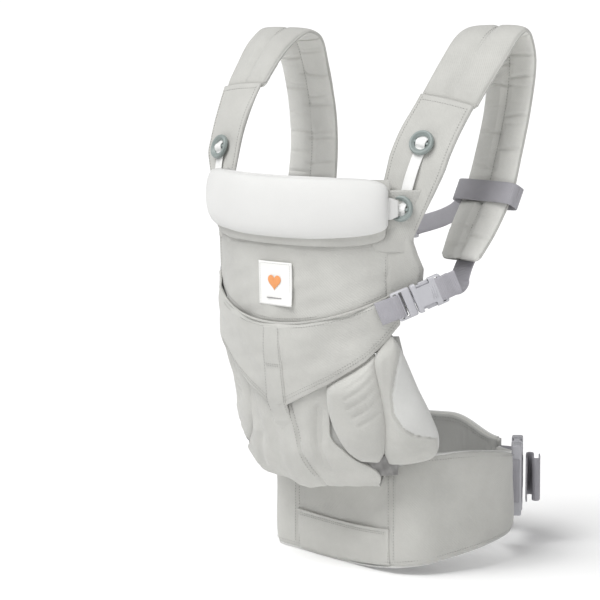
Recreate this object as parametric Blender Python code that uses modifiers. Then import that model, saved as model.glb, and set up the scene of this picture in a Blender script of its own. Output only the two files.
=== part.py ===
"""Soft baby carrier: a padded waist belt, a body panel with a seat and leg rolls, two padded
shoulder straps, a folded-down head support, and the webbing and buckles that close it.

Metres, +Z up. The carrier is worn facing -Y and +X is the wearer's left. The origin is the middle
of the space that the waist belt closes round, level with the middle of the belt's height.
"""

import math

import bmesh
import bpy
import numpy as np
from mathutils import Matrix, Vector

MM = 0.001
GAP = 0.4 * MM

# ---- waist belt ----------------------------------------------------------------------------------
BELT_PLAN = [(0.034, 0.125), (-0.019, 0.122), (-0.074, 0.101), (-0.112, 0.057), (-0.130, -0.001),
             (-0.130, -0.055), (-0.118, -0.090), (-0.084, -0.100), (0.0, -0.115), (0.080, -0.126),
             (0.110, -0.112), (0.128, -0.075), (0.138, -0.035), (0.135, 0.010), (0.115, 0.039),
             (0.080, 0.063)]
BELT_HALF_HEIGHT = 0.065
# tapers: where the low and the high edge start to close in, and how far each does
BELT_FAR_TAPER = (0.17, 0.09, 0.026, 0.022)
BELT_NEAR_TAPER = (0.57, 0.78, 0.036, 0.018)
BELT_FABRIC = 1.6 * MM
BELT_FOAM = 8.0 * MM
BELT_FOAM_MARGIN = 0.008
BELT_STATIONS = 46
BELT_FRONT_Y = -0.115
BELT_FRONT_SLOPE = -0.165
POCKET_HALF_WIDTH = 0.076
POCKET_LOW = -0.060
POCKET_HIGH = -0.019

# ---- body panel: rings round an upright axis, (height, radius) ------------------------------------
AXIS_Y = -0.045
PANEL_PROFILE = [(0.023, 0.118), (0.031, 0.131), (0.042, 0.142), (0.059, 0.153), (0.083, 0.159),
                 (0.125, 0.166), (0.158, 0.172), (0.185, 0.177), (0.228, 0.1785), (0.380, 0.180)]
COVER_ANGLE = 41.0
LINING_ANGLE = 41.0
COVER_TOP = 0.362
ARC_SEAM_LOW = 0.209
ARC_SEAM_RISE = 0.030
FLAP_EDGE = [(0.0, 0.120), (6.0, 0.121), (21.5, 0.147), (34.0, 0.174), (40.5, 0.194), (45.5, 0.213)]
FLAP_PROUD = 0.0035
PANEL_FABRIC = 1.6 * MM
PANEL_FOAM = 6.0 * MM
FOAM_DEPTH = 5.6 * MM
LINING_DEPTH = 11.2 * MM
WING_EDGE = [(0.222, 46.5), (0.245, 52.0), (0.265, 54.0), (0.284, 51.3), (0.297, 49.4)]
WING_THICKNESS = 3.0 * MM
SEAT_SIDE = [(0.035, 38.0), (0.045, 40.0), (0.059, 35.0), (0.067, 28.0), (0.083, 21.0), (0.092, 19.6)]
SEAT_COLUMNS = 13
SEAT_UNDER_FLAP = 0.009
SEAT_HALF_ON_BELT = 0.076
SEAT_ON_BELT_Z = 0.046
SEAT_THICKNESS = 4.0 * MM

# leg rolls: (angle, height) down each side of the patch, bottom to top
FRONT_ROLL = ([(31.0, 0.066), (26.8, 0.075), (22.8, 0.093), (20.6, 0.116), (20.6, 0.138)],
              [(38.5, 0.067), (39.4, 0.080), (39.6, 0.110), (38.4, 0.136), (36.4, 0.168)])
REAR_ROLL = ([(43.0, 0.064), (41.0, 0.080), (41.0, 0.110), (40.0, 0.136), (38.4, 0.172), (41.4, 0.187)],
             [(50.0, 0.062), (59.5, 0.069), (61.0, 0.090), (57.0, 0.116), (52.0, 0.145), (45.5, 0.190)])
ROLL_EDGE = 3.0 * MM
ROLL_BACK = 0.3
FRONT_ROLL_SWELL = {"left": (0.015, 0.0), "right": (0.006, 0.006)}
REAR_ROLL_SWELL = {"left": (0.017, 0.0), "right": (0.007, 0.007)}

# ---- shoulder straps: x, y, z, width, yaw of the width, down the outer face ----------------------
STRAP_LEFT = [(0.125, -0.162, 0.303, 0.060, 0.25), (0.127, -0.1645, 0.333, 0.064, 0.25),
              (0.133, -0.144, 0.393, 0.066, 0.25), (0.139, -0.108, 0.447, 0.067, 0.22),
              (0.143, -0.068, 0.495, 0.072, 0.18), (0.144, -0.049, 0.513, 0.073, 0.12),
              (0.144, -0.031, 0.519, 0.073, 0.05), (0.145, -0.0145, 0.5105, 0.068, 0.0),
              (0.148, -0.0065, 0.480, 0.064, -0.02), (0.150, -0.015, 0.430, 0.061, -0.04),
              (0.151, -0.032, 0.380, 0.061, -0.04), (0.151, -0.048, 0.340, 0.063, -0.04),
              (0.149, -0.073, 0.300, 0.060, -0.04), (0.148, -0.093, 0.272, 0.050, -0.04)]
STRAP_RIGHT = [(-0.130, -0.161, 0.303, 0.058, 0.25), (-0.138, -0.160, 0.335, 0.056, 0.25),
               (-0.146, -0.146, 0.385, 0.058, 0.25), (-0.149, -0.119, 0.440, 0.062, 0.22),
               (-0.150, -0.088, 0.480, 0.068, 0.18), (-0.150, -0.063, 0.502, 0.072, 0.12),
               (-0.150, -0.040, 0.512, 0.074, 0.05), (-0.150, -0.017, 0.502, 0.074, 0.0),
               (-0.149, -0.002, 0.468, 0.074, 0.08), (-0.148, 0.010, 0.415, 0.074, 0.08),
               (-0.147, 0.011, 0.365, 0.074, 0.08), (-0.146, 0.001, 0.315, 0.076, 0.08),
               (-0.146, -0.020, 0.275, 0.068, 0.08), (-0.147, -0.044, 0.248, 0.054, 0.08)]
STRAP_STATIONS = 56
STRAP_BASE_END = 15
STRAP_BASE_THICKNESS = 5.0 * MM
STRAP_FABRIC = 1.6 * MM
STRAP_FOAM = 9.0 * MM
STRAP_FOAM_MARGIN = 0.005

# ---- head support, buttons, webbing and buckles --------------------------------------------------
HEAD_ANGLE = 41.0
HEAD_LOW = 0.298
HEAD_HIGH = 0.361
HEAD_STAND_OFF = 0.0030
HEAD_EDGE = 5.0 * MM
HEAD_SWELL = 0.009
HEAD_BACKING = 1.6 * MM
HEAD_BACKING_LOW = 0.293
BUTTON_RADIUS = 0.0135
BUTTON_THICKNESS = 5.0 * MM
BUTTON_WINDOW = (0.011, 0.0036)
BUTTON_STATIONS = {"left": (3, 10), "right": (3, 8)}
BUTTON_STAND_OFF = 3.0 * MM
TAPE_STAND_OFF = 1.6 * MM
TAPE_WIDTH = 0.0125
SIDE_WEBBING = 0.025
WAIST_WEBBING = 0.050
CHEST_WEBBING = 0.020
WEBBING_THICKNESS = 1.6 * MM
LABEL_ANGLES = (-6.4, 8.2)
LABEL_HEIGHTS = (0.229, 0.273)

# buckles: where the mouth is, which way the socket lies, which way the face looks, and
# (width, thickness, webbing, plug length, how far the prongs reach, socket length)
SIDE_BUCKLE_AT = {"left": (0.1450, -0.1695, 0.2400), "right": (-0.1526, -0.1259, 0.2426)}
SIDE_BUCKLE_ALONG = {"left": (0.586, 0.713, 0.383), "right": (-0.25, 0.92, 0.30)}
SIDE_BUCKLE_FACE = {"left": (0.80, -0.60, 0.10), "right": (-0.95, -0.25, 0.10)}
SIDE_BUCKLE_SIZE = (0.031, 0.010, SIDE_WEBBING, 0.0215, 0.022, 0.034)
SIDE_WEBBING_DROP = {"left": 0.020, "right": 0.028}
SIDE_WEBBING_LAP = 0.012
SIDE_WEBBING_STAND_OFF = 3.2 * MM
WAIST_AT = (0.0756, 0.0982, 0.007)
WAIST_ALONG = (-0.6, 0.8, 0.0)
WAIST_FACE = (0.8, 0.6, 0.0)
WAIST_SIZE = (0.080, 0.013, WAIST_WEBBING, 0.026, 0.030, 0.044)
TAIL_PLAN = [(-0.022, 0.011), (0.018, 0.011), (0.022, 0.0145), (0.018, 0.018), (-0.012, 0.018),
             (-0.016, 0.0215), (-0.012, 0.025), (0.012, 0.025)]
CHEST_HEIGHT = {"left": 0.340, "right": 0.321}
CHEST_SLIDER = (0.0805, 0.0215, 0.0245)
CHEST_SLIDER_SKIN = 1.6 * MM
CHEST_SAG = 0.040
CHEST_DIP = 0.009
CHEST_RISE = 0.008
CHEST_SIZE = (0.027, 0.009, CHEST_WEBBING, 0.018, 0.018, 0.028)


# ---- building blocks -----------------------------------------------------------------------------
def new_collection(name):
    group = bpy.data.collections.new(name)
    bpy.context.scene.collection.children.link(group)
    return group


def make_material(name, colour, roughness):
    made = bpy.data.materials.new(name)
    made.use_nodes = True
    shader = made.node_tree.nodes["Principled BSDF"]
    shader.inputs["Base Color"].default_value = (*colour, 1.0)
    shader.inputs["Roughness"].default_value = roughness
    shader.inputs["Metallic"].default_value = 0.0
    return made


def smooth_path(points, count):
    """count rows evenly spaced along a smooth curve through the points; columns past z follow along."""
    p = np.array(points, float)
    gaps = np.linalg.norm(np.diff(p[:, :3], axis=0), axis=1)
    t = np.concatenate([[0.0], np.cumsum(gaps)])
    slope = np.empty_like(p)
    slope[1:-1] = (p[2:] - p[:-2]) / (t[2:] - t[:-2])[:, None]
    slope[0] = (p[1] - p[0]) / gaps[0]
    slope[-1] = (p[-1] - p[-2]) / gaps[-1]
    fine = []
    for i, gap in enumerate(gaps):
        for s in np.linspace(0.0, 1.0, 24, endpoint=False):
            fine.append((2 * s**3 - 3 * s**2 + 1) * p[i] + (s**3 - 2 * s**2 + s) * gap * slope[i]
                        + (3 * s**2 - 2 * s**3) * p[i + 1] + (s**3 - s**2) * gap * slope[i + 1])
    fine = np.array(fine + [p[-1]])
    steps = np.linalg.norm(np.diff(fine[:, :3], axis=0), axis=1)
    run = np.concatenate([[0.0], np.cumsum(steps)])
    at = np.linspace(0.0, run[-1], count)
    return np.stack([np.interp(at, run, column) for column in fine.T], axis=1)


def ease(x):
    x = np.clip(x, 0.0, 1.0)
    return x * x * (3.0 - 2.0 * x)


def unit(v):
    v = np.array(v, float)
    return v / np.linalg.norm(v)


def table(rows, x):
    return float(np.interp(x, [row[0] for row in rows], [row[1] for row in rows]))


def ring_point(radius, degrees, z):
    a = math.radians(degrees)
    return np.array([radius * math.sin(a), AXIS_Y - radius * math.cos(a), z])


def panel_point(degrees, z, depth=0.0):
    """A point on the panel's outer face, or depth behind it."""
    return ring_point(table(PANEL_PROFILE, z) - depth, degrees, z)


def add_object(name, mesh, look):
    made = bpy.data.objects.new(name, mesh)
    mesh.materials.append(look)
    PARTS.objects.link(made)
    return made


def mesh_from(name, corners, faces):
    mesh = bpy.data.meshes.new(name)
    mesh.from_pydata([tuple(c) for c in corners], [], faces)
    return mesh


def grid_faces(rows, columns, start=0, flip=False):
    faces = []
    for i in range(rows - 1):
        for j in range(columns - 1):
            a = start + i * columns + j
            quad = (a, a + 1, a + columns + 1, a + columns)
            faces.append(quad[::-1] if flip else quad)
    return faces


def cloth(name, grid, thickness, look):
    """A layer of even thickness, half to each side of a grid of points."""
    grid = np.array(grid)
    rows, columns = grid.shape[:2]
    made = add_object(name, mesh_from(name, grid.reshape(-1, 3), grid_faces(rows, columns)), look)
    shell = made.modifiers.new("Thickness", "SOLIDIFY")
    shell.thickness = thickness
    shell.offset = 0.0
    shell.use_even_offset = True
    return made


def padding(name, outer, inner, look):
    """A closed pad between two grids of the same shape, whose thickness differs from place to place."""
    outer, inner = np.array(outer), np.array(inner)
    rows, columns = outer.shape[:2]
    count = rows * columns
    faces = grid_faces(rows, columns) + grid_faces(rows, columns, count, flip=True)
    rim = [j for j in range(columns)]
    rim += [i * columns + columns - 1 for i in range(1, rows)]
    rim += [(rows - 1) * columns + j for j in range(columns - 2, -1, -1)]
    rim += [i * columns for i in range(rows - 2, 0, -1)]
    for a, b in zip(rim, rim[1:] + rim[:1]):
        faces.append((b, a, a + count, b + count))
    mesh = mesh_from(name, np.concatenate([outer.reshape(-1, 3), inner.reshape(-1, 3)]), faces)
    work = bmesh.new()
    work.from_mesh(mesh)
    bmesh.ops.recalc_face_normals(work, faces=work.faces)
    work.to_mesh(mesh)
    work.free()
    return add_object(name, mesh, look)


def box_mesh(name, low, high):
    """A box between two corners, from the cube primitive."""
    low, high = np.array(low, float), np.array(high, float)
    work = bmesh.new()
    size = Matrix.Diagonal((*(high - low), 1.0))
    bmesh.ops.create_cube(work, size=1.0, matrix=Matrix.Translation(Vector((low + high) / 2.0)) @ size)
    mesh = bpy.data.meshes.new(name)
    work.to_mesh(mesh)
    work.free()
    return mesh


def cutter(name, mesh, place):
    made = bpy.data.objects.new(name, mesh)
    made.matrix_world = place
    made.hide_render = True
    made.display_type = "WIRE"
    CUTTERS.objects.link(made)
    return made


def cut(target, tool, operation="DIFFERENCE"):
    step = target.modifiers.new("Cut", "BOOLEAN")
    step.operation = operation
    step.solver = "EXACT"
    step.object = tool


def round_edges(target, width, segments=2):
    soft = target.modifiers.new("Soft edges", "BEVEL")
    soft.width = width
    soft.segments = segments
    soft.limit_method = "ANGLE"
    soft.angle_limit = math.radians(50.0)


def placement(origin, x_axis, z_axis):
    """A matrix whose X runs along x_axis and whose Z is as near z_axis as that allows."""
    x = unit(x_axis)
    y = unit(np.cross(z_axis, x))
    z = np.cross(x, y)
    place = Matrix([(*row, 0.0) for row in np.stack([x, y, z], axis=1)] + [(0.0, 0.0, 0.0, 1.0)])
    place.translation = Vector(origin)
    return place


def webbing(name, points, across, width, look, thickness=WEBBING_THICKNESS, stations=8):
    """A flat strip along a smooth path; across gives the direction of its width at each end."""
    path = smooth_path(points, stations)
    grid = []
    for s, p in zip(np.linspace(0.0, 1.0, stations), path):
        side = unit(np.array(across[0]) * (1.0 - s) + np.array(across[1]) * s)
        grid.append([p - side * width / 2.0, p + side * width / 2.0])
    return cloth(name, grid, thickness, look)


# ---- waist belt ----------------------------------------------------------------------------------
def belt_grid(depth, margin=0.0, trim=0.0):
    """The belt's surface, depth behind its outer face and margin short of its edges."""
    path = smooth_path([(x, y, 0.0) for x, y in BELT_PLAN], BELT_STATIONS)
    tangent = np.gradient(path[:, :2], axis=0)
    tangent /= np.linalg.norm(tangent, axis=1)[:, None]
    run = np.linspace(0.0, 1.0, BELT_STATIONS)
    heights = []
    for k in range(2):
        far = ease(1.0 - run / BELT_FAR_TAPER[k])
        near = ease((run - BELT_NEAR_TAPER[k]) / (1.0 - BELT_NEAR_TAPER[k]))
        taken = BELT_FAR_TAPER[2 + k] * far + BELT_NEAR_TAPER[2 + k] * near + margin
        heights.append(BELT_HALF_HEIGHT - taken)
    low, high = -heights[0], heights[1]
    x = path[:, 0] - tangent[:, 1] * depth
    y = path[:, 1] + tangent[:, 0] * depth
    x[0] += tangent[0, 0] * trim
    y[0] += tangent[0, 1] * trim
    x[-1] -= tangent[-1, 0] * trim
    y[-1] -= tangent[-1, 1] * trim
    return np.stack([np.stack([x, y, low], axis=1), np.stack([x, y, high], axis=1)], axis=1)


def belt_front_y(x):
    return BELT_FRONT_Y + BELT_FRONT_SLOPE * x


def make_belt():
    foam_depth = BELT_FABRIC + GAP + BELT_FOAM / 2.0
    lining_depth = BELT_FABRIC * 1.5 + 2.0 * GAP + BELT_FOAM
    cloth("belt_cover", belt_grid(BELT_FABRIC / 2.0), BELT_FABRIC, FABRIC)
    cloth("belt_foam", belt_grid(foam_depth, BELT_FOAM_MARGIN, BELT_FOAM_MARGIN), BELT_FOAM, FOAM)
    cloth("belt_lining", belt_grid(lining_depth), BELT_FABRIC, LINING)
    front = belt_grid(-BELT_FABRIC)
    inside = [row for row in front if abs(row[0][0]) < POCKET_HALF_WIDTH and row[0][1] < 0.0]
    grid = [[(p[0][0], p[0][1], POCKET_LOW), (p[0][0], p[0][1], POCKET_HIGH)] for p in inside]
    cloth("belt_pocket", grid, BELT_FABRIC, FABRIC)


# ---- body panel, seat and leg rolls --------------------------------------------------------------
def arc_seam(degrees):
    return ARC_SEAM_LOW + ARC_SEAM_RISE * (degrees / COVER_ANGLE) ** 2


def flap_edge(degrees):
    return table(FLAP_EDGE, abs(degrees))


def panel_grid(angles, low, high, rows, depth):
    """Columns of panel points; low and high give each column's two ends from its angle."""
    grid = []
    for s in np.linspace(0.0, 1.0, rows):
        grid.append([panel_point(a, low(a) * (1.0 - s) + high(a) * s, depth) for a in angles])
    return grid


def make_panel():
    across = np.linspace(-COVER_ANGLE, COVER_ANGLE, 17)
    cloth("upper_panel_cover",
          panel_grid(across, lambda a: arc_seam(a) + GAP, lambda a: COVER_TOP, 5, PANEL_FABRIC / 2.0),
          PANEL_FABRIC, FABRIC)
    foam = np.linspace(-COVER_ANGLE + 2.0, COVER_ANGLE - 2.0, 13)
    cloth("panel_foam", panel_grid(foam, lambda a: flap_edge(a) + 0.013, lambda a: COVER_TOP - 0.006, 5,
                                   FOAM_DEPTH), PANEL_FOAM, FOAM)
    lining = np.linspace(-LINING_ANGLE, LINING_ANGLE, 15)
    cloth("panel_lining", panel_grid(lining, lambda a: flap_edge(a) + 0.004, lambda a: COVER_TOP, 5,
                                     LINING_DEPTH), PANEL_FABRIC, LINING)
    flap = sorted([-45.5, -40.5, -34.0, -28.0, -21.5, -14.0, -6.0, 0.0, 6.0, 14.0, 21.5, 28.0, 34.0,
                   40.5, 45.5])
    cloth("cross_flap", panel_grid(flap, flap_edge, lambda a: arc_seam(a) - GAP, 5, -FLAP_PROUD),
          2.0 * MM, FABRIC)
    label = np.linspace(*LABEL_ANGLES, 3)
    cloth("care_label", panel_grid(label, lambda a: LABEL_HEIGHTS[0], lambda a: LABEL_HEIGHTS[1], 2,
                                   -1.1 * MM), 0.8 * MM, LABEL)
    for side, sign in SIDES:
        grid = []
        for z, edge in WING_EDGE:
            inner = min(COVER_ANGLE + 0.6, edge - 3.0)
            grid.append([panel_point(sign * a, z + (0.02 if z < 0.24 else 0.0), 0.003)
                         for a in np.linspace(inner, edge, 3)])
        cloth("side_wing_" + side, grid, WING_THICKNESS, FABRIC)


def seat_rows(depth):
    """Rows from under the cross flap down the seat's front, under it and back to the belt."""
    across = np.linspace(-1.0, 1.0, SEAT_COLUMNS)
    rows = []
    for v in np.linspace(0.0, 1.0, 4):
        row = []
        for s in across:
            a = SEAT_SIDE[-1][1] * s
            z = (flap_edge(a) + SEAT_UNDER_FLAP) * (1.0 - v) + 0.102 * v
            row.append(panel_point(a, z, depth))
        rows.append(row)
    for z in (0.092, 0.083, 0.074, 0.066, 0.057, 0.048, 0.040, 0.035):
        half = table(SEAT_SIDE, z)
        low = 0.010 * ease((0.075 - z) / 0.03)
        rows.append([panel_point(half * s, z - low * (1.0 - s * s), depth) for s in across])
    for stand, z in ((0.012, 0.034), (0.0042, SEAT_ON_BELT_Z)):
        xs = [SEAT_HALF_ON_BELT * s for s in across]
        rows.append([np.array([x, belt_front_y(x) - stand, z]) for x in xs])
    return rows


def make_seat():
    cloth("seat_panel", seat_rows(SEAT_THICKNESS / 2.0), SEAT_THICKNESS, FABRIC)


def roll_grids(outline, sign, swell, rows, columns):
    """The two faces of a leg roll; swell is how far it rises and how deep its edge lies."""
    rise, sunk = swell
    first = smooth_path([(a, z * 1000.0, 0.0) for a, z in outline[0]], rows)
    second = smooth_path([(a, z * 1000.0, 0.0) for a, z in outline[1]], rows)
    outer, inner = [], []
    for i, v in enumerate(np.linspace(-1.0, 1.0, rows)):
        outer.append([])
        inner.append([])
        for u in np.linspace(-1.0, 1.0, columns):
            a, z = (first[i] * (1.0 - u) + second[i] * (1.0 + u))[:2] / 2.0
            z /= 1000.0
            full = math.sqrt(max(0.0, 1.0 - u * u)) * math.sqrt(max(0.0, 1.0 - (v * v) ** 2))
            outer[-1].append(panel_point(sign * a, z, sunk - rise * full))
            inner[-1].append(panel_point(sign * a, z, sunk + ROLL_EDGE + rise * ROLL_BACK * full))
    return outer, inner


def make_leg_rolls():
    for side, sign in SIDES:
        outer, inner = roll_grids(FRONT_ROLL, sign, FRONT_ROLL_SWELL[side], 9, 7)
        padding("front_leg_roll_" + side, outer, inner, FABRIC)
        outer, inner = roll_grids(REAR_ROLL, sign, REAR_ROLL_SWELL[side], 9, 7)
        padding("rear_leg_roll_" + side, outer, inner, FABRIC)


# ---- shoulder straps -----------------------------------------------------------------------------
def strap_frames(rows):
    """Points down the strap's outer face with its width, width direction and outward normal."""
    path = smooth_path(rows, STRAP_STATIONS)
    tangent = np.gradient(path[:, :3], axis=0)
    frames = []
    for row, along in zip(path, tangent):
        sign = 1.0 if row[0] > 0.0 else -1.0
        side = np.array([sign, row[4], 0.0])
        along = unit(along)
        side = unit(side - along * np.dot(side, along))
        out = unit(np.cross(side, along)) * sign
        frames.append((row[:3], row[3], side, out, along))
    return frames


def strap_grid(frames, depth, margin=0.0):
    return [[p + out * -depth - side * (w / 2.0 - margin), p + out * -depth + side * (w / 2.0 - margin)]
            for p, w, side, out, _ in frames]


def make_straps():
    for side, rows in (("left", STRAP_LEFT), ("right", STRAP_RIGHT)):
        frames = strap_frames(rows)
        base, pad = frames[:STRAP_BASE_END + 1], frames[STRAP_BASE_END + 1:]
        cloth("strap_base_" + side, strap_grid(base, STRAP_BASE_THICKNESS / 2.0),
              STRAP_BASE_THICKNESS, FABRIC)
        foam = STRAP_FABRIC + GAP + STRAP_FOAM / 2.0
        lining = STRAP_FABRIC * 1.5 + 2.0 * GAP + STRAP_FOAM
        cloth("strap_cover_" + side, strap_grid(pad, STRAP_FABRIC / 2.0), STRAP_FABRIC, FABRIC)
        cloth("strap_foam_" + side, strap_grid(pad, foam, STRAP_FOAM_MARGIN), STRAP_FOAM, FOAM)
        cloth("strap_lining_" + side, strap_grid(pad, lining), STRAP_FABRIC, LINING)


# ---- head support --------------------------------------------------------------------------------
def make_head_support():
    angles = np.linspace(-HEAD_ANGLE, HEAD_ANGLE, 15)
    outer, inner = [], []
    for v in np.linspace(-1.0, 1.0, 7):
        outer.append([])
        inner.append([])
        for a in angles:
            u = a / HEAD_ANGLE
            reach = math.sqrt(max(0.0, 1.0 - u ** 8))
            z = (HEAD_LOW + HEAD_HIGH) / 2.0 + v * (HEAD_HIGH - HEAD_LOW) / 2.0 * (0.6 + 0.4 * reach)
            full = math.sqrt(max(0.0, 1.0 - v * v)) * reach
            stand = HEAD_STAND_OFF + HEAD_BACKING + GAP
            outer[-1].append(panel_point(a, z, -stand - HEAD_EDGE - HEAD_SWELL * full))
            inner[-1].append(panel_point(a, z, -stand))
    pad = padding("head_support_pad", outer, inner, WHITE)
    backing = cloth("head_support_backing",
                    panel_grid(np.linspace(-HEAD_ANGLE + 2.0, HEAD_ANGLE - 2.0, 13),
                               lambda a: HEAD_BACKING_LOW, lambda a: HEAD_HIGH - 0.004, 3,
                               -HEAD_STAND_OFF - HEAD_BACKING / 2.0), HEAD_BACKING, FABRIC)
    hinge = bpy.data.objects.new("head_support_hinge", None)
    hinge.location = (0.0, AXIS_Y - table(PANEL_PROFILE, COVER_TOP) - HEAD_STAND_OFF, COVER_TOP)
    PARTS.objects.link(hinge)
    for piece in (pad, backing):
        piece.parent = hinge
        piece.matrix_parent_inverse = Matrix.Translation(-Vector(hinge.location))


# ---- buttons -------------------------------------------------------------------------------------
def make_buttons():
    for side, rows in (("left", STRAP_LEFT), ("right", STRAP_RIGHT)):
        frames = strap_frames(rows)
        for level, station in zip(("lower", "upper"), BUTTON_STATIONS[side]):
            point, _, across, out, _ = frames[station]
            place = placement(point + out * BUTTON_STAND_OFF, across, out)
            disc = bmesh.new()
            bmesh.ops.create_cone(disc, cap_ends=True, segments=24, radius1=BUTTON_RADIUS,
                                  radius2=BUTTON_RADIUS - 0.8 * MM, depth=BUTTON_THICKNESS,
                                  matrix=Matrix.Translation((0.0, 0.0, BUTTON_THICKNESS / 2.0)))
            mesh = bpy.data.meshes.new("button")
            disc.to_mesh(mesh)
            disc.free()
            button = add_object(f"button_{level}_{side}", mesh, BUTTON)
            button.matrix_world = place
            for k, shift in enumerate((-3.2 * MM, 3.2 * MM)):
                half = (BUTTON_WINDOW[0] / 2.0, BUTTON_WINDOW[1] / 2.0)
                hole = box_mesh("window", (-half[0], shift - half[1], -0.01),
                                (half[0], shift + half[1], 0.02))
                cut(button, cutter(f"window_{level}_{side}_{k}", hole, place))
        a, b = BUTTON_STATIONS[side]
        run = [frames[k][0] + frames[k][3] * TAPE_STAND_OFF for k in (*range(a - 1, b, 2), b + 1)]
        webbing("button_tape_" + side, run, (frames[a][2], frames[b][2]), TAPE_WIDTH, WHITE,
                thickness=1.0 * MM, stations=7)


# ---- buckles -------------------------------------------------------------------------------------
def make_buckle(name, place, width, thick, tape, base, reach, body):
    """A side-release buckle. Local X runs from the plug to the socket, with the mouth at 0; base is
    the plug block's length, reach is how far its prongs go in, body is the socket's length."""
    wall = 2.0 * MM
    half, deep = width / 2.0, thick / 2.0
    slot = tape / 2.0 + 1.0 * MM
    plug = add_object(name + "_plug", box_mesh("plug", (-base, -half, -deep + MM),
                                               (-0.5 * MM, half, deep - MM)), PLASTIC)
    plug.matrix_world = place
    tongue = cutter(name + "_tongue", box_mesh("tongue", (-2.0 * MM, -3.0 * MM, -1.2 * MM),
                                               (reach - 2.0 * MM, 3.0 * MM, 1.2 * MM)), place)
    cut(plug, tongue, "UNION")
    for k, start in enumerate((-base + 2.5 * MM, -base + 8.5 * MM)):
        hole = box_mesh("slot", (start, -slot, -0.02), (start + 3.4 * MM, slot, 0.02))
        cut(plug, cutter(f"{name}_plug_slot_{k}", hole, place))
    round_edges(plug, 0.6 * MM, 1)
    socket = add_object(name + "_socket", box_mesh("socket", (0.4 * MM, -half, -deep),
                                                   (body, half, deep)), PLASTIC)
    socket.matrix_world = place
    cavity = box_mesh("cavity", (-0.01, -half + wall, -deep + wall),
                      (reach + 1.5 * MM, half - wall, deep - wall))
    cut(socket, cutter(name + "_cavity", cavity, place))
    windows = box_mesh("windows", (6.0 * MM, -half - 0.01, -deep + wall),
                       (reach - 2.0 * MM, half + 0.01, deep - wall))
    cut(socket, cutter(name + "_windows", windows, place))
    hole = box_mesh("slot", (body - 7.0 * MM, -slot, -0.02), (body - 3.2 * MM, slot, 0.02))
    cut(socket, cutter(name + "_socket_slot", hole, place))
    round_edges(socket, 0.6 * MM, 1)
    prong_out = half - wall - 0.5 * MM
    for edge, sign in (("upper", 1.0), ("lower", -1.0)):
        low = (0.0, min(sign * prong_out, sign * (prong_out - 4.0 * MM)), -deep + wall + 0.5 * MM)
        high = (reach, max(sign * prong_out, sign * (prong_out - 4.0 * MM)), deep - wall - 0.5 * MM)
        prong = add_object(f"{name}_prong_{edge}", box_mesh("prong", low, high), PLASTIC)
        prong.matrix_world = place
        round_edges(prong, 0.8 * MM, 1)


def make_side_buckles():
    for side, rows in (("left", STRAP_LEFT), ("right", STRAP_RIGHT)):
        along = unit(SIDE_BUCKLE_ALONG[side])
        place = placement(SIDE_BUCKLE_AT[side], along, SIDE_BUCKLE_FACE[side])
        width, thick, tape, base, reach, body = SIDE_BUCKLE_SIZE
        make_buckle("side_buckle_" + side, place, width, thick, tape, base, reach, body)
        across = np.array(place.to_3x3() @ Vector((0.0, 1.0, 0.0)))
        start = np.array(place @ Vector((-base - 0.5 * MM, 0.0, 0.0)))
        run = [start, start - 0.008 * along, start - 0.016 * along + (0.0, 0.0, -0.004)]
        webbing(f"side_anchor_{side}", run, (across, across), SIDE_WEBBING, WEBBING, stations=4)
        frames = strap_frames(rows)
        tip, _, strap_across, out, down = frames[-1]
        first = np.array(place @ Vector((body + 1.0 * MM, 0.0, 0.0)))
        lift = out * SIDE_WEBBING_STAND_OFF
        turn = tip + lift * 1.6 + down * SIDE_WEBBING_DROP[side]
        turned = strap_across * math.copysign(1.0, np.dot(across, strap_across))
        run = [first, first + along * 0.006, turn, tip + lift, tip + lift - down * SIDE_WEBBING_LAP]
        webbing(f"side_webbing_{side}", run, (across, turned), SIDE_WEBBING, WEBBING, stations=14)


def make_waist_closure():
    place = placement(WAIST_AT, WAIST_ALONG, WAIST_FACE)
    width, thick, tape, base, reach, body = WAIST_SIZE
    make_buckle("waist_buckle", place, width, thick, tape, base, reach, body)
    upright = (0.0, 0.0, 1.0)
    near_end = np.array((*BELT_PLAN[-1], WAIST_AT[2]))
    far_end = np.array((*BELT_PLAN[0], WAIST_AT[2]))
    plug_end = np.array(place @ Vector((-base - 1.2 * MM, 0.0, 0.0)))
    socket_end = np.array(place @ Vector((body + 1.2 * MM, 0.0, 0.0)))
    face = unit(WAIST_FACE)
    webbing("waist_webbing_near", [near_end + face * 0.003 + (0.018, -0.012, 0.0),
                                   near_end + face * 0.004, plug_end],
            (upright, upright), WAIST_WEBBING, WEBBING, stations=7)
    webbing("waist_webbing_far",
            [socket_end, far_end + (0.002, 0.0125, 0.0), far_end + (-0.022, 0.0045, 0.0)],
            (upright, upright), WAIST_WEBBING, WEBBING, stations=7)
    tail = [np.array(place @ Vector((a, 0.0, b))) for a, b in TAIL_PLAN]
    webbing("waist_webbing_tail", tail, (upright, upright), WAIST_WEBBING, WEBBING, stations=26)


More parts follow.
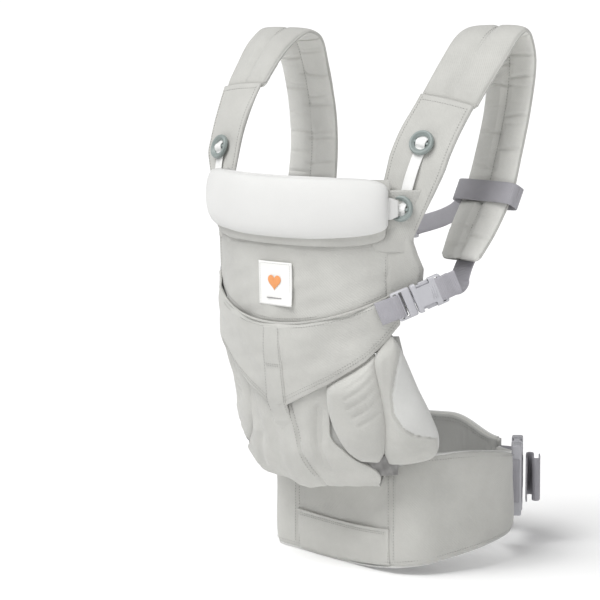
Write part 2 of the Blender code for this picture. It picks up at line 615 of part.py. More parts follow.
def make_chest_strap():
    ends = {}
    for side, rows in (("left", STRAP_LEFT), ("right", STRAP_RIGHT)):
        frames = strap_frames(rows)
        behind = frames[STRAP_STATIONS // 2:]
        nearest = int(np.argmin([abs(frame[0][2] - CHEST_HEIGHT[side]) for frame in behind]))
        point, _, across, out, down = behind[nearest]
        middle = point - out * (STRAP_FABRIC + STRAP_FOAM / 2.0 + STRAP_FABRIC / 2.0)
        place = placement(middle, across, out)
        wide, deep, tall = CHEST_SLIDER
        skin = CHEST_SLIDER_SKIN
        ring = add_object("chest_slider_" + side,
                          box_mesh("slider", (-wide / 2.0, -tall / 2.0, -deep / 2.0),
                                   (wide / 2.0, tall / 2.0, deep / 2.0)), WEBBING)
        ring.matrix_world = place
        hole = box_mesh("hole", (-wide / 2.0 + skin, -0.1, -deep / 2.0 + skin),
                        (wide / 2.0 - skin, 0.1, deep / 2.0 - skin))
        cut(ring, cutter("slider_hole_" + side, hole, place))
        ends[side] = (middle + out * (deep / 2.0 + 6.5 * MM) - across * (wide / 2.0 - 0.004)
                      - down * CHEST_RISE)
    upright = (0.0, 0.0, 1.0)
    low = (ends["left"] + ends["right"]) / 2.0 - (0.0, 0.0, CHEST_SAG)
    along = unit(ends["right"] - ends["left"])
    face = unit(np.cross(along, upright)) * -1.0
    place = placement(low, along, face)
    width, thick, tape, base, reach, body = CHEST_SIZE
    make_buckle("chest_buckle", place, width, thick, tape, base, reach, body)
    plug_end = np.array(place @ Vector((-base - 0.5 * MM, 0.0, 0.0)))
    socket_end = np.array(place @ Vector((body + 0.5 * MM, 0.0, 0.0)))
    for side, end in (("left", plug_end), ("right", socket_end)):
        start = ends[side]
        points = [start, start * 0.62 + end * 0.38 - (0.0, 0.0, CHEST_DIP), end]
        webbing("chest_webbing_" + side, points, (upright, upright), CHEST_WEBBING, WEBBING, stations=9)


for old in list(bpy.data.objects):
    bpy.data.objects.remove(old, do_unlink=True)

PARTS = new_collection("baby_carrier")
CUTTERS = new_collection("cutters")
SIDES = (("left", 1.0), ("right", -1.0))
FABRIC = make_material("pearl_grey_twill", (0.60, 0.60, 0.57), 0.92)
LINING = make_material("grey_lining", (0.50, 0.50, 0.48), 0.92)
FOAM = make_material("foam", (0.82, 0.80, 0.74), 0.95)
WHITE = make_material("white_fabric", (0.82, 0.82, 0.80), 0.90)
LABEL = make_material("label_satin", (0.88, 0.88, 0.86), 0.60)
WEBBING = make_material("lavender_grey_webbing", (0.40, 0.39, 0.42), 0.80)
PLASTIC = make_material("grey_plastic", (0.52, 0.52, 0.55), 0.38)
BUTTON = make_material("grey_green_plastic", (0.32, 0.36, 0.35), 0.45)

make_belt()
make_panel()
make_seat()
make_leg_rolls()
make_straps()
make_head_support()
make_buttons()
make_side_buckles()
make_waist_closure()
make_chest_strap()
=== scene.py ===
"""Looks of the soft baby carrier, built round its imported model. Metres, in the model's frame:
-Y is the carrier's front, +X the wearer's left, +Z up."""

import math

import bmesh
import bpy
import numpy as np
from mathutils import Matrix, Vector


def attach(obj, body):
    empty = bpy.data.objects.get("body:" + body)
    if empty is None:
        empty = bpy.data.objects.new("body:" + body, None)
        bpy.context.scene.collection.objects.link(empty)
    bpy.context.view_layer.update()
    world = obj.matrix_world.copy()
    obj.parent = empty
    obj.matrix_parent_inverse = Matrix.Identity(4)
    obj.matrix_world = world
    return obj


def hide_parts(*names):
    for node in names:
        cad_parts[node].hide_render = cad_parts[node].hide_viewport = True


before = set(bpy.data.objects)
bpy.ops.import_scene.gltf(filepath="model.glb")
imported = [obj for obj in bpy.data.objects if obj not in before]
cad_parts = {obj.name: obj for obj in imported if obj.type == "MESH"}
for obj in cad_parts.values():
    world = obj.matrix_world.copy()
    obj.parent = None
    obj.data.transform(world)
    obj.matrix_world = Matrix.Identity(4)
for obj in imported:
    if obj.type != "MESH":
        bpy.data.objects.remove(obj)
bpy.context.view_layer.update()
MM = 0.001
ROOT = "carrier"
UPRIGHT = np.array((0.0, 0.0, 1.0))
SIDES = (("left", 1.0), ("right", -1.0))

# ---- shape of the carrier, as in its solids ----
BELT_PLAN = [(0.034, 0.125), (-0.019, 0.122), (-0.074, 0.101), (-0.112, 0.057), (-0.130, -0.001),
             (-0.130, -0.055), (-0.118, -0.090), (-0.084, -0.100), (0.0, -0.115), (0.080, -0.126),
             (0.110, -0.112), (0.128, -0.075), (0.138, -0.035), (0.135, 0.010), (0.115, 0.039),
             (0.080, 0.063)]
BELT_HALF_HEIGHT = 0.065
BELT_FAR_TAPER = (0.17, 0.09, 0.026, 0.022)
BELT_NEAR_TAPER = (0.57, 0.78, 0.036, 0.018)
BELT_FRONT_Y = -0.115
BELT_FRONT_SLOPE = -0.165
AXIS_Y = -0.045
PANEL_PROFILE = [(0.023, 0.118), (0.031, 0.131), (0.042, 0.142), (0.059, 0.153), (0.083, 0.159),
                 (0.125, 0.166), (0.158, 0.172), (0.185, 0.177), (0.228, 0.1785), (0.380, 0.180)]
COVER_TOP = 0.362
ARC_RADIUS = 0.18
FLAP_EDGE = [(0.0, 0.120), (6.0, 0.121), (21.5, 0.147), (34.0, 0.174), (40.5, 0.194), (45.5, 0.213)]
SEAT_SIDE = [(0.035, 38.0), (0.045, 40.0), (0.059, 35.0), (0.067, 28.0), (0.083, 21.0), (0.092, 19.6)]
FRONT_ROLL = ([(31.5, 0.064), (26.8, 0.074), (22.6, 0.093), (20.0, 0.116), (19.6, 0.138), (20.0, 0.158)],
              [(38.5, 0.063), (41.2, 0.080), (41.4, 0.110), (40.2, 0.136), (37.8, 0.174), (36.8, 0.194)])
REAR_ROLL = ([(42.5, 0.061), (39.8, 0.080), (39.8, 0.110), (38.6, 0.136), (36.8, 0.174), (40.5, 0.208)],
             [(50.0, 0.061), (59.5, 0.068), (61.3, 0.088), (57.4, 0.116), (52.2, 0.145),
              (45.6, 0.189), (42.6, 0.203)])
ROLL_SWELL = {"left": (0.0165, 0.0), "right": (0.0075, 0.0065)}
STRAPS = {
    "left": [(0.125, -0.162, 0.303, 0.060, 0.25), (0.127, -0.1645, 0.333, 0.064, 0.25),
             (0.133, -0.144, 0.393, 0.066, 0.25), (0.139, -0.108, 0.447, 0.067, 0.22),
             (0.143, -0.068, 0.495, 0.072, 0.18), (0.144, -0.049, 0.513, 0.073, 0.12),
             (0.144, -0.031, 0.519, 0.073, 0.05), (0.145, -0.0145, 0.5105, 0.068, 0.0),
             (0.148, -0.0065, 0.480, 0.064, -0.02), (0.150, -0.015, 0.430, 0.061, -0.04),
             (0.151, -0.032, 0.380, 0.061, -0.04), (0.151, -0.048, 0.340, 0.063, -0.04),
             (0.149, -0.073, 0.300, 0.060, -0.04), (0.148, -0.093, 0.272, 0.050, -0.04)],
    "right": [(-0.130, -0.161, 0.303, 0.058, 0.25), (-0.138, -0.160, 0.335, 0.056, 0.25),
              (-0.146, -0.146, 0.385, 0.058, 0.25), (-0.149, -0.119, 0.440, 0.062, 0.22),
              (-0.150, -0.088, 0.480, 0.068, 0.18), (-0.150, -0.063, 0.502, 0.072, 0.12),
              (-0.150, -0.040, 0.512, 0.074, 0.05), (-0.150, -0.017, 0.502, 0.074, 0.0),
              (-0.149, -0.002, 0.468, 0.074, 0.08), (-0.148, 0.010, 0.415, 0.074, 0.08),
              (-0.147, 0.011, 0.365, 0.074, 0.08), (-0.146, 0.001, 0.315, 0.076, 0.08),
              (-0.146, -0.020, 0.275, 0.068, 0.08), (-0.147, -0.044, 0.248, 0.054, 0.08)]}
STRAP_ROWS = 56
PAD_START = 15.5 / 55.0
PAD_MIDDLE = -6.6 * MM
PAD_HALF_THICK = 6.4 * MM
HEAD_HEIGHTS = (0.3015, 0.3640)
HEAD_BACK_HEIGHTS = (0.2925, 0.3600)
HEAD_TAB_ANGLES = (39.5, 44.6)
HEAD_TAB_HEIGHT = 0.3335
HEAD_TAB_HALF = 0.0115
BUTTON_STATIONS = {"left": (3, 10), "right": (3, 8)}
BUTTON_STAND_OFF = {"lower": 5.4 * MM, "upper": 3.0 * MM}

# ---- buttons and closures; profiles and buckle sizes are in millimetres ----
BUTTON_RIM = [(13.4, 0.6), (13.6, 1.6), (13.4, 3.4), (12.8, 4.6), (11.8, 5.0), (10.8, 4.7),
              (10.0, 3.8), (9.5, 2.9), (7.8, 2.7), (7.8, 0.6), (10.0, 0.2), (12.6, 0.2)]
BUTTON_TAPE_BOW = [(-8.5, 0.6), (-5.0, 1.2), (-2.8, 3.4), (0.0, 4.5), (2.8, 3.4), (5.0, 1.2), (8.5, 0.6)]
# a buckle's width, thickness, webbing width, plug length, prong reach and far end
SIDE_SIZE = (31.0, 10.0, 25.0, 21.5, 22.0, 34.0)
SIDE_AT = {"left": (0.1450, -0.1695, 0.2400), "right": (-0.1526, -0.1259, 0.2426)}
SIDE_ALONG = {"left": (0.586, 0.713, 0.383), "right": (-0.25, 0.92, 0.30)}
SIDE_FACE = {"left": (0.80, -0.60, 0.10), "right": (-0.95, -0.25, 0.10)}
SIDE_DROP = {"left": 0.020, "right": 0.028}
SIDE_WEBBING = 0.0245
WAIST_SIZE = (80.0, 13.0, 50.0, 26.0, 30.0, 44.0)
WAIST_AT = (0.0756, 0.0982, 0.007)
WAIST_ALONG = (-0.6, 0.8, 0.0)
WAIST_FACE = (0.8, 0.6, 0.0)
WAIST_WEBBING = 0.049
TAIL_PLAN = [(-22.0, 11.0), (18.0, 11.0), (22.0, 14.5), (18.0, 18.0), (-12.0, 18.0), (-16.0, 21.5),
             (-12.0, 25.0), (12.0, 25.0)]
CHEST_SIZE = (27.0, 9.0, 20.0, 18.0, 18.0, 28.0)
CHEST_HEIGHT = {"left": 0.340, "right": 0.321}
CHEST_SLIDER = (0.0805, 0.0215, 0.0245)
CHEST_SAG = 0.040
CHEST_DIP = 0.009


# ---- numbers ----
def run_of(points):
    """How far along a line each of its points lies."""
    steps = np.linalg.norm(np.diff(points[:, :3], axis=0), axis=1)
    return np.concatenate([[0.0], np.cumsum(steps)])


def smooth_path(points, count):
    """count rows evenly spaced along a smooth curve through the points."""
    p = np.array(points, float)
    t = run_of(p)
    gaps = np.diff(t)
    slope = np.empty_like(p)
    slope[1:-1] = (p[2:] - p[:-2]) / (t[2:] - t[:-2])[:, None]
    slope[0] = (p[1] - p[0]) / gaps[0]
    slope[-1] = (p[-1] - p[-2]) / gaps[-1]
    fine = []
    for i, gap in enumerate(gaps):
        for s in np.linspace(0.0, 1.0, 24, endpoint=False):
            fine.append((2 * s**3 - 3 * s**2 + 1) * p[i] + (s**3 - 2 * s**2 + s) * gap * slope[i]
                        + (3 * s**2 - 2 * s**3) * p[i + 1] + (s**3 - s**2) * gap * slope[i + 1])
    fine = np.array(fine + [p[-1]])
    run = run_of(fine)
    at = np.linspace(0.0, run[-1], count)
    return np.stack([np.interp(at, run, column) for column in fine.T], axis=1)


def ease(x):
    x = np.clip(x, 0.0, 1.0)
    return x * x * (3.0 - 2.0 * x)


def unit(v):
    v = np.array(v, float)
    return v / np.maximum(np.linalg.norm(v, axis=-1, keepdims=True), 1e-12)


def table(rows, x):
    return np.interp(x, [row[0] for row in rows], [row[1] for row in rows])


def waves(x, y, seed, size, count=9):
    """Smooth unevenness between about -1 and 1, with features about size apart."""
    draw = np.random.default_rng(seed)
    total = np.zeros(np.broadcast(x, y).shape)
    for _ in range(count):
        turn, phase = draw.uniform(0.0, 2.0 * math.pi, 2)
        pitch = size * draw.uniform(0.7, 1.9)
        total = total + np.sin((x * math.cos(turn) + y * math.sin(turn)) * 2 * math.pi / pitch + phase)
    return total / math.sqrt(count)


def near_line(x, y, points):
    """How far each (x, y) is from a line through the points."""
    best = np.full(np.broadcast(x, y).shape, 1e9)
    for (ax, ay), (bx, by) in zip(points[:-1], points[1:]):
        dx, dy = bx - ax, by - ay
        t = np.clip(((x - ax) * dx + (y - ay) * dy) / (dx * dx + dy * dy), 0.0, 1.0)
        best = np.minimum(best, np.hypot(x - ax - t * dx, y - ay - t * dy))
    return best


def fold(distance, width):
    """1 in the middle of a fold or seam, 0 beyond its width."""
    return np.exp(-(distance / width) ** 2)


PROFILE_FINE = smooth_path([(r, z, 0.0) for z, r in PANEL_PROFILE], 240)


def panel(degrees, z, out=0.0):
    """Points on the panel's outer face, or out in front of it."""
    a = np.radians(degrees)
    r = np.interp(z, PROFILE_FINE[:, 1], PROFILE_FINE[:, 0]) + out
    return np.stack(np.broadcast_arrays(r * np.sin(a), AXIS_Y - r * np.cos(a), z * 1.0), axis=-1)


def arc_seam(degrees):
    return 0.209 + 0.032 * (np.abs(degrees) / 41.0) ** 2


def flap_edge(degrees):
    """The flap's lower edge: two slants that meet the centre strip a little to the wearer's right."""
    shifted = np.where(degrees > 0.0, degrees + 3.2 * np.clip(1.0 - degrees / 30.0, 0.0, 1.0), -degrees)
    return table(FLAP_EDGE, shifted)


# ---- materials ----
def new_material(name, colour, roughness, sheen=0.0):
    made = bpy.data.materials.new(name)
    made.use_nodes = True
    shader = made.node_tree.nodes["Principled BSDF"]
    shader.inputs["Base Color"].default_value = (*colour, 1.0)
    shader.inputs["Roughness"].default_value = roughness
    shader.inputs["Sheen Weight"].default_value = sheen
    shader.inputs["Sheen Roughness"].default_value = 0.45
    return made, shader


def add_node(tree, kind, **values):
    made = tree.nodes.new(kind)
    for key, value in values.items():
        if key in made.inputs:
            made.inputs[key].default_value = value
        else:
            setattr(made, key, value)
    return made


def woven(name, colour, pitch, depth, mottle=0.06, direction="DIAGONAL", sheen=0.25):
    """Woven cloth: threads by bump at the given pitch in metres, and a little uneven colour."""
    made, shader = new_material(name, colour, 0.88, sheen)
    tree = made.node_tree
    link = tree.links.new
    place = add_node(tree, "ShaderNodeTexCoord")
    wave_scale = 2.0 * math.pi / (20.0 * pitch)
    twill = add_node(tree, "ShaderNodeTexWave", bands_direction=direction, Scale=wave_scale, Distortion=0.6)
    twill.inputs["Detail Scale"].default_value = 2.0
    cross = add_node(tree, "ShaderNodeTexWave", bands_direction="Y" if direction == "X" else "X",
                     Scale=wave_scale * 1.31, Distortion=0.4)
    slub = add_node(tree, "ShaderNodeTexNoise", Scale=420.0, Detail=4.0, Roughness=0.7)
    cloud = add_node(tree, "ShaderNodeTexNoise", Scale=22.0, Detail=5.0, Roughness=0.6)
    for node in (twill, cross):
        link(place.outputs["UV"], node.inputs["Vector"])
    for node in (slub, cloud):
        link(place.outputs["Object"], node.inputs["Vector"])
    threads = add_node(tree, "ShaderNodeMath", operation="ADD")
    link(twill.outputs["Fac"], threads.inputs[0])
    link(cross.outputs["Fac"], threads.inputs[1])
    height = add_node(tree, "ShaderNodeMath", operation="ADD")
    link(threads.outputs[0], height.inputs[0])
    link(slub.outputs["Fac"], height.inputs[1])
    bump = add_node(tree, "ShaderNodeBump", Strength=0.55, Distance=depth)
    link(height.outputs[0], bump.inputs["Height"])
    link(bump.outputs["Normal"], shader.inputs["Normal"])
    blend = add_node(tree, "ShaderNodeMath", operation="MULTIPLY_ADD")
    blend.inputs[1].default_value = 0.35
    link(slub.outputs["Fac"], blend.inputs[0])
    link(cloud.outputs["Fac"], blend.inputs[2])
    ramp = add_node(tree, "ShaderNodeValToRGB")
    low, high = ramp.color_ramp.elements
    low.position, high.position = 0.42, 0.92
    low.color = (*(c * (1.0 - mottle) for c in colour), 1.0)
    high.color = (*(min(1.0, c * (1.0 + mottle)) for c in colour), 1.0)
    link(blend.outputs[0], ramp.inputs["Fac"])
    link(ramp.outputs["Color"], shader.inputs["Base Color"])
    return made


def moulded(name, colour, roughness, grain):
    """Moulded plastic: fine grain in the surface, and a little uneven gloss and colour."""
    made, shader = new_material(name, colour, roughness)
    tree = made.node_tree
    link = tree.links.new
    place = add_node(tree, "ShaderNodeTexCoord")
    fine = add_node(tree, "ShaderNodeTexNoise", Scale=1600.0, Detail=3.0)
    broad = add_node(tree, "ShaderNodeTexNoise", Scale=60.0, Detail=3.0)
    for node in (fine, broad):
        link(place.outputs["Object"], node.inputs["Vector"])
    bump = add_node(tree, "ShaderNodeBump", Strength=0.35, Distance=grain)
    link(fine.outputs["Fac"], bump.inputs["Height"])
    link(bump.outputs["Normal"], shader.inputs["Normal"])
    gloss = add_node(tree, "ShaderNodeMapRange")
    gloss.inputs["To Min"].default_value = roughness - 0.06
    gloss.inputs["To Max"].default_value = roughness + 0.08
    link(broad.outputs["Fac"], gloss.inputs["Value"])
    link(gloss.outputs["Result"], shader.inputs["Roughness"])
    ramp = add_node(tree, "ShaderNodeValToRGB")
    ramp.color_ramp.elements[0].color = (*(c * 0.94 for c in colour), 1.0)
    ramp.color_ramp.elements[1].color = (*(min(1.0, c * 1.05) for c in colour), 1.0)
    link(broad.outputs["Fac"], ramp.inputs["Fac"])
    link(ramp.outputs["Color"], shader.inputs["Base Color"])
    return made


def make_materials():
    return {
        "fabric": woven("pearl_grey_twill", (0.512, 0.510, 0.484), 1.5 * MM, 0.20 * MM, 0.08),
        "lining": woven("grey_lining", (0.400, 0.400, 0.385), 1.3 * MM, 0.12 * MM),
        # dark grey for the crumpled cloth below the rolls, darker than the twill to paint in the shade among its
        # folds
        "shaded_gather": woven("gather_painted_shade", (0.230, 0.227, 0.222), 1.2 * MM, 0.10 * MM),
        # strap: a lighter copy of the grey twill for the strap pads' inner faces, as painted light
        "strap": woven("strap_inside_painted_light", (0.700, 0.698, 0.668), 1.5 * MM, 0.20 * MM, 0.08),
        # light: a pale lining cloth; on the rear rolls' inner facings it is painted light
        "light": woven("pale_lining_and_painted_light", (0.600, 0.602, 0.586), 1.2 * MM, 0.10 * MM),
        "white": woven("white_cotton", (0.710, 0.710, 0.698), 1.1 * MM, 0.10 * MM, mottle=0.02),
        "tape": woven("white_tape", (0.83, 0.83, 0.82), 1.2 * MM, 0.14 * MM, 0.03, "X"),
        "webbing": woven("lavender_webbing", (0.370, 0.363, 0.392), 1.7 * MM, 0.30 * MM, 0.07, "Y", 0.15),
        "label": woven("label_satin", (0.86, 0.86, 0.84), 0.9 * MM, 0.06 * MM, mottle=0.015),
        "thread": woven("sewing_thread", (0.230, 0.228, 0.215), 0.6 * MM, 0.05 * MM),
        "mark": woven("orange_embroidery", (0.80, 0.33, 0.12), 0.7 * MM, 0.10 * MM, 0.10),
        "mark_grey": woven("grey_embroidery", (0.22, 0.21, 0.22), 0.7 * MM, 0.10 * MM, 0.10),
        "buckle": moulded("grey_buckle_plastic", (0.49, 0.49, 0.52), 0.36, 0.02 * MM),
        "button": moulded("grey_green_plastic", (0.275, 0.315, 0.305), 0.42, 0.02 * MM),
    }


# ---- meshes ----
def linked(name, data):
    """A new object in the scene."""
    made = bpy.data.objects.new(name, data)
    bpy.context.scene.collection.objects.link(made)
    return made


def finish_piece(name, mesh, look, body=ROOT, replaces=()):
    """Links the mesh as a piece that rides on a body and stands for CAD nodes."""
    made = linked(name, mesh)
    mesh.materials.append(LOOKS[look])
    mesh.shade_smooth()
    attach(made, body)
    if replaces:
        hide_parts(*replaces)
    return made


def mesh_of(name, corners, faces, uv=None):
    mesh = bpy.data.meshes.new(name)
    mesh.from_pydata(np.asarray(corners).tolist(), [], faces)
    if uv is not None:
        layer = mesh.uv_layers.new(name="cloth")
        index = np.zeros(len(mesh.loops), np.int32)
        mesh.loops.foreach_get("vertex_index", index)
        layer.data.foreach_set("uv", np.asarray(uv, float)[index].ravel())
    mesh.validate()
    return mesh


def grid_uv(grid):
    """Across and along lengths of a grid, in metres."""
    across = np.linalg.norm(np.diff(grid, axis=1), axis=2).mean(axis=0)
    along = np.linalg.norm(np.diff(grid, axis=0), axis=2).mean(axis=1)
    u = np.concatenate([[0.0], np.cumsum(across)])
    v = np.concatenate([[0.0], np.cumsum(along)])
    return np.stack(np.meshgrid(u, v), axis=-1)


def normals_of(grid):
    return unit(np.cross(np.gradient(grid, axis=1), np.gradient(grid, axis=0)))


def outward(mesh):
    """The mesh with its faces turned outward."""
    work = bmesh.new()
    work.from_mesh(mesh)
    bmesh.ops.recalc_face_normals(work, faces=work.faces)
    work.to_mesh(mesh)
    work.free()
    return mesh


def ring_faces(rings, around, closed=False):
    """Faces of a skin over rings of points, capped at both ends unless it closes on itself."""
    faces = []
    for i in range(rings if closed else rings - 1):
        a, b = i * around, (i + 1) % rings * around
        for j in range(around):
            k = (j + 1) % around
            faces.append((a + j, a + k, b + k, b + j))
    if not closed:
        faces += [tuple(range(around))[::-1], tuple((rings - 1) * around + j for j in range(around))]
    return faces


def closed_between(name, outer, inner):
    """A closed mesh between two grids of the same shape."""
    rows, columns = outer.shape[:2]
    count = rows * columns
    faces = []
    for i in range(rows - 1):
        for j in range(columns - 1):
            a = i * columns + j
            quad = (a, a + 1, a + columns + 1, a + columns)
            faces.append(quad)
            faces.append(tuple(k + count for k in quad[::-1]))
    rim = list(range(columns)) + [i * columns + columns - 1 for i in range(1, rows)]
    rim += [(rows - 1) * columns + j for j in range(columns - 2, -1, -1)]
    rim += [i * columns for i in range(rows - 2, 0, -1)]
    faces += [(b, a, a + count, b + count) for a, b in zip(rim, rim[1:] + rim[:1])]
    uv = grid_uv(outer).reshape(-1, 2)
    corners = np.concatenate([outer.reshape(-1, 3), inner.reshape(-1, 3)])
    return outward(mesh_of(name, corners, faces, np.concatenate([uv, uv])))


def layer(name, outer, inner, look, **ride):
    """A layer of cloth between two grids, as a piece."""
    return finish_piece(name, closed_between(name, outer, inner), look, **ride)


def pad(name, outer, inner, look, fill, **ride):
    """A padded piece between two grids; fill is not used."""
    made = layer(name, outer, inner, look, **ride)
    return made


def tube(name, path, radius, look, sides=8, closed=False, **ride):
    """A round tube along a path, with capped ends unless it closes on itself."""
    path = np.asarray(path, float)
    along = unit(np.roll(path, -1, 0) - np.roll(path, 1, 0)) if closed else unit(np.gradient(path, axis=0))
    guide = np.array((0.0, 0.0, 1.0)) if abs(along[:, 2]).mean() < 0.7 else np.array((1.0, 0.0, 0.0))
    first = unit(np.cross(along, guide))
    second = np.cross(along, first)
    turn = np.linspace(0.0, 2.0 * math.pi, sides, endpoint=False)
    ring = first[:, None] * np.cos(turn)[None, :, None] + second[:, None] * np.sin(turn)[None, :, None]
    corners = (path[:, None] + ring * radius).reshape(-1, 3)
    uv = np.stack([np.tile(turn * radius, len(path)), np.repeat(run_of(path), sides)], axis=1)
    mesh = mesh_of(name, corners, ring_faces(len(path), sides, closed), uv)
    return finish_piece(name, outward(mesh), look, **ride)


def ribbon(name, path, across, width, look, thickness=1.6 * MM, **ride):
    """Flat webbing with rounded edges along a path; across is one direction or one for each point."""
    path = np.asarray(path, float)
    along = unit(np.gradient(path, axis=0))
    side = np.broadcast_to(np.asarray(across, float), path.shape)
    side = unit(side - along * (side * along).sum(-1, keepdims=True))
    face = np.cross(side, along)
    half, thick = width / 2.0, thickness / 2.0
    section = [(-half, 0.0), (-half + 0.3 * thick, 0.7 * thick), (-half + thick, thick), (-half / 3, thick),
               (half / 3, thick), (half - thick, thick), (half - 0.3 * thick, 0.7 * thick), (half, 0.0)]
    ring = section + [(x, -y) for x, y in section[-2:0:-1]]
    corners = np.concatenate([p + np.array([s * x + f * y for x, y in ring])
                              for p, s, f in zip(path, side, face)])
    uv = np.array([(x, r) for r in run_of(path) for x, _ in ring])
    mesh = mesh_of(name, corners, ring_faces(len(path), len(ring)), uv)
    return finish_piece(name, outward(mesh), look, **ride)


def stitches(name, lines, pitch=3.2 * MM, length=2.3 * MM, radius=0.32 * MM, **ride):
    """Rows of sewn stitches along lines of points, as one piece."""
    corners, faces = [], []
    for line in lines:
        line = np.asarray(line, float)
        run = run_of(line)
        for start in np.arange(pitch / 2.0, run[-1] - length, pitch):
            a = np.array([np.interp(start, run, c) for c in line.T])
            b = np.array([np.interp(start + length, run, c) for c in line.T])
            along = unit(b - a)
            first = unit(np.cross(along, (0.3, 0.5, 0.8)))
            second = np.cross(along, first)
            base = len(corners)
            corners += [a, *(((a + b) / 2.0) + r * radius for r in (first, second, -first, -second)), b]
            for j in range(4):
                p, q = base + 1 + j, base + 1 + (j + 1) % 4
                faces += [(base, q, p), (base + 5, p, q)]
    return finish_piece(name, mesh_of(name, corners, faces, np.zeros((len(corners), 2))), "thread", **ride)


# ---- waist belt ----
BELT_LINE = smooth_path([(x, y, 0.0) for x, y in BELT_PLAN], 300)
BELT_OUT = unit(np.stack([np.gradient(BELT_LINE[:, 1]), -np.gradient(BELT_LINE[:, 0]),
                          np.zeros(len(BELT_LINE))], axis=1))
BELT_RUN = np.linspace(0.0, 1.0, len(BELT_LINE))
BELT_LENGTH = float(np.linalg.norm(np.diff(BELT_LINE, axis=0), axis=1).sum())


def belt_point(run, height, out=0.0):
    """A point on the belt's outer face: run from 0 to 1 along it, height from -1 to 1 up it."""
    run, height, out = np.broadcast_arrays(run, height, out)
    heights = []
    for k in range(2):
        far = ease(1.0 - run / BELT_FAR_TAPER[k])
        near = ease((run - BELT_NEAR_TAPER[k]) / (1.0 - BELT_NEAR_TAPER[k]))
        heights.append(BELT_HALF_HEIGHT - BELT_FAR_TAPER[2 + k] * far - BELT_NEAR_TAPER[2 + k] * near)
    low, high = -heights[0], heights[1]
    point = np.stack([np.interp(run, BELT_RUN, c) for c in BELT_LINE.T], axis=-1)
    normal = unit(np.stack([np.interp(run, BELT_RUN, c) for c in BELT_OUT.T], axis=-1))
    point = point + normal * out[..., None]
    point[..., 2] = (low + high) / 2.0 + height * (high - low) / 2.0
    return point


def run_at_x(x):
    """Where along the belt its front passes x."""
    front = (BELT_LINE[:, 1] < -0.08) & (np.abs(BELT_LINE[:, 0]) < 0.11)
    return float(np.interp(x, BELT_LINE[front, 0], BELT_RUN[front]))


def make_belt():
    run, height = np.meshgrid(np.linspace(0.0, 1.0, 260), np.linspace(-1.0, 1.0, 41), indexing="ij")
    length = run * BELT_LENGTH
    edge = np.abs(height) ** 10
    ends = np.clip(1.0 - np.minimum(run, 1.0 - run) * BELT_LENGTH / 0.010, 0.0, 1.0) ** 2
    left, right = run_at_x(-0.077), run_at_x(0.079)
    seams = sum(fold((run - r) * BELT_LENGTH, 2.2 * MM) for r in (left, right))
    hem = fold(1.0 - np.abs(height), 0.030)
    relief = waves(length, height * 0.065, 3, 0.10) * 0.8 * MM
    relief = relief + waves(length, height * 0.065, 4, 0.03) * 0.15 * MM
    out = 0.4 * MM + relief - 2.8 * MM * edge - 1.6 * MM * seams - 0.5 * MM * hem * (1.0 - edge)
    outer = belt_point(run, height, out - 3.0 * MM * ends)
    inner = belt_point(run, height * 0.995, -10.2 * MM + 3.5 * MM * edge + 3.0 * MM * ends)
    pad("belt_padding_and_cover", outer, inner, "fabric", 0.7, replaces=("belt_cover", "belt_foam"))
    quilt = fold(((length + 0.0045) % 0.009) - 0.0045, 1.3 * MM)
    inside = -11.6 * MM + 1.1 * MM * quilt - waves(length, height * 0.065, 8, 0.06) * 0.5 * MM
    face = belt_point(run, height * 0.985, inside)
    back = belt_point(run, height * 0.985, -10.3 * MM)
    layer("belt_quilted_lining", back, face, "lining",
                 replaces=("belt_lining",))
    rows = np.linspace(0.012, 0.988, 500)
    lines = [belt_point(rows, h, 0.1 * MM) for h in (-0.905, 0.905)]
    up = np.linspace(-0.90, 0.90, 60)
    for r in (left, right):
        lines += [belt_point(r + s * 3.5 * MM / BELT_LENGTH, up, 0.4 * MM) for s in (-1.0, 1.0)]
    lines.append(belt_point(0.988, up, -0.4 * MM))
    stitches("belt_stitching", lines)
    inside_rows = [belt_point(rows, h, -12.3 * MM) for h in (-0.93, -0.87, 0.87, 0.93)]
    stitches("belt_lining_stitching", inside_rows)
    for h, word in ((-0.998, "lower"), (0.998, "upper")):
        tube(f"belt_{word}_piping", belt_point(np.linspace(0.004, 0.996, 260), h, -3.6 * MM), 1.5 * MM,
             "light")
    for r, word in ((0.0015, "far"), (0.9985, "near")):
        tube(f"belt_{word}_end_piping", belt_point(r, np.linspace(-0.99, 0.99, 40), -3.8 * MM), 2.0 * MM,
             "light")


def make_pocket():
    left, right = run_at_x(-0.0745), run_at_x(0.0765)
    t, v = np.meshgrid(np.linspace(0.0, 1.0, 90), np.linspace(0.0, 1.0, 34), indexing="ij")
    run = left + (right - left) * t
    height = -0.965 * (1.0 - v) + v * (-0.285 - 0.035 * t)
    lip = 1.5 * MM * fold(1.0 - v, 0.05) + 0.9 * MM * np.sin(t * math.pi) * ease((v - 0.5) / 0.5)
    edges = fold(t, 0.02) + fold(1.0 - t, 0.02) + fold(v, 0.06)
    soft = waves(run * BELT_LENGTH, height * 0.065, 12, 0.05) * 0.5 * MM * np.sqrt(np.clip(v, 0.0, 1.0))
    out = 0.5 * MM + 0.9 * MM * ease(v / 0.5) + lip + soft - 1.0 * MM * edges * (0.3 + 0.7 * (1.0 - v))
    outer = belt_point(run, height, out)
    inner = belt_point(run, height, np.full_like(run, -1.2 * MM))
    layer("belt_pocket_panel", outer, inner, "fabric",
                 replaces=("belt_pocket",))
    across = np.linspace(0.01, 0.99, 200)
    lines = [belt_point(left + (right - left) * across, h - 0.035 * across, 3.1 * MM)
             for h in (-0.345, -0.375)]
    stitches("belt_pocket_stitching", lines)


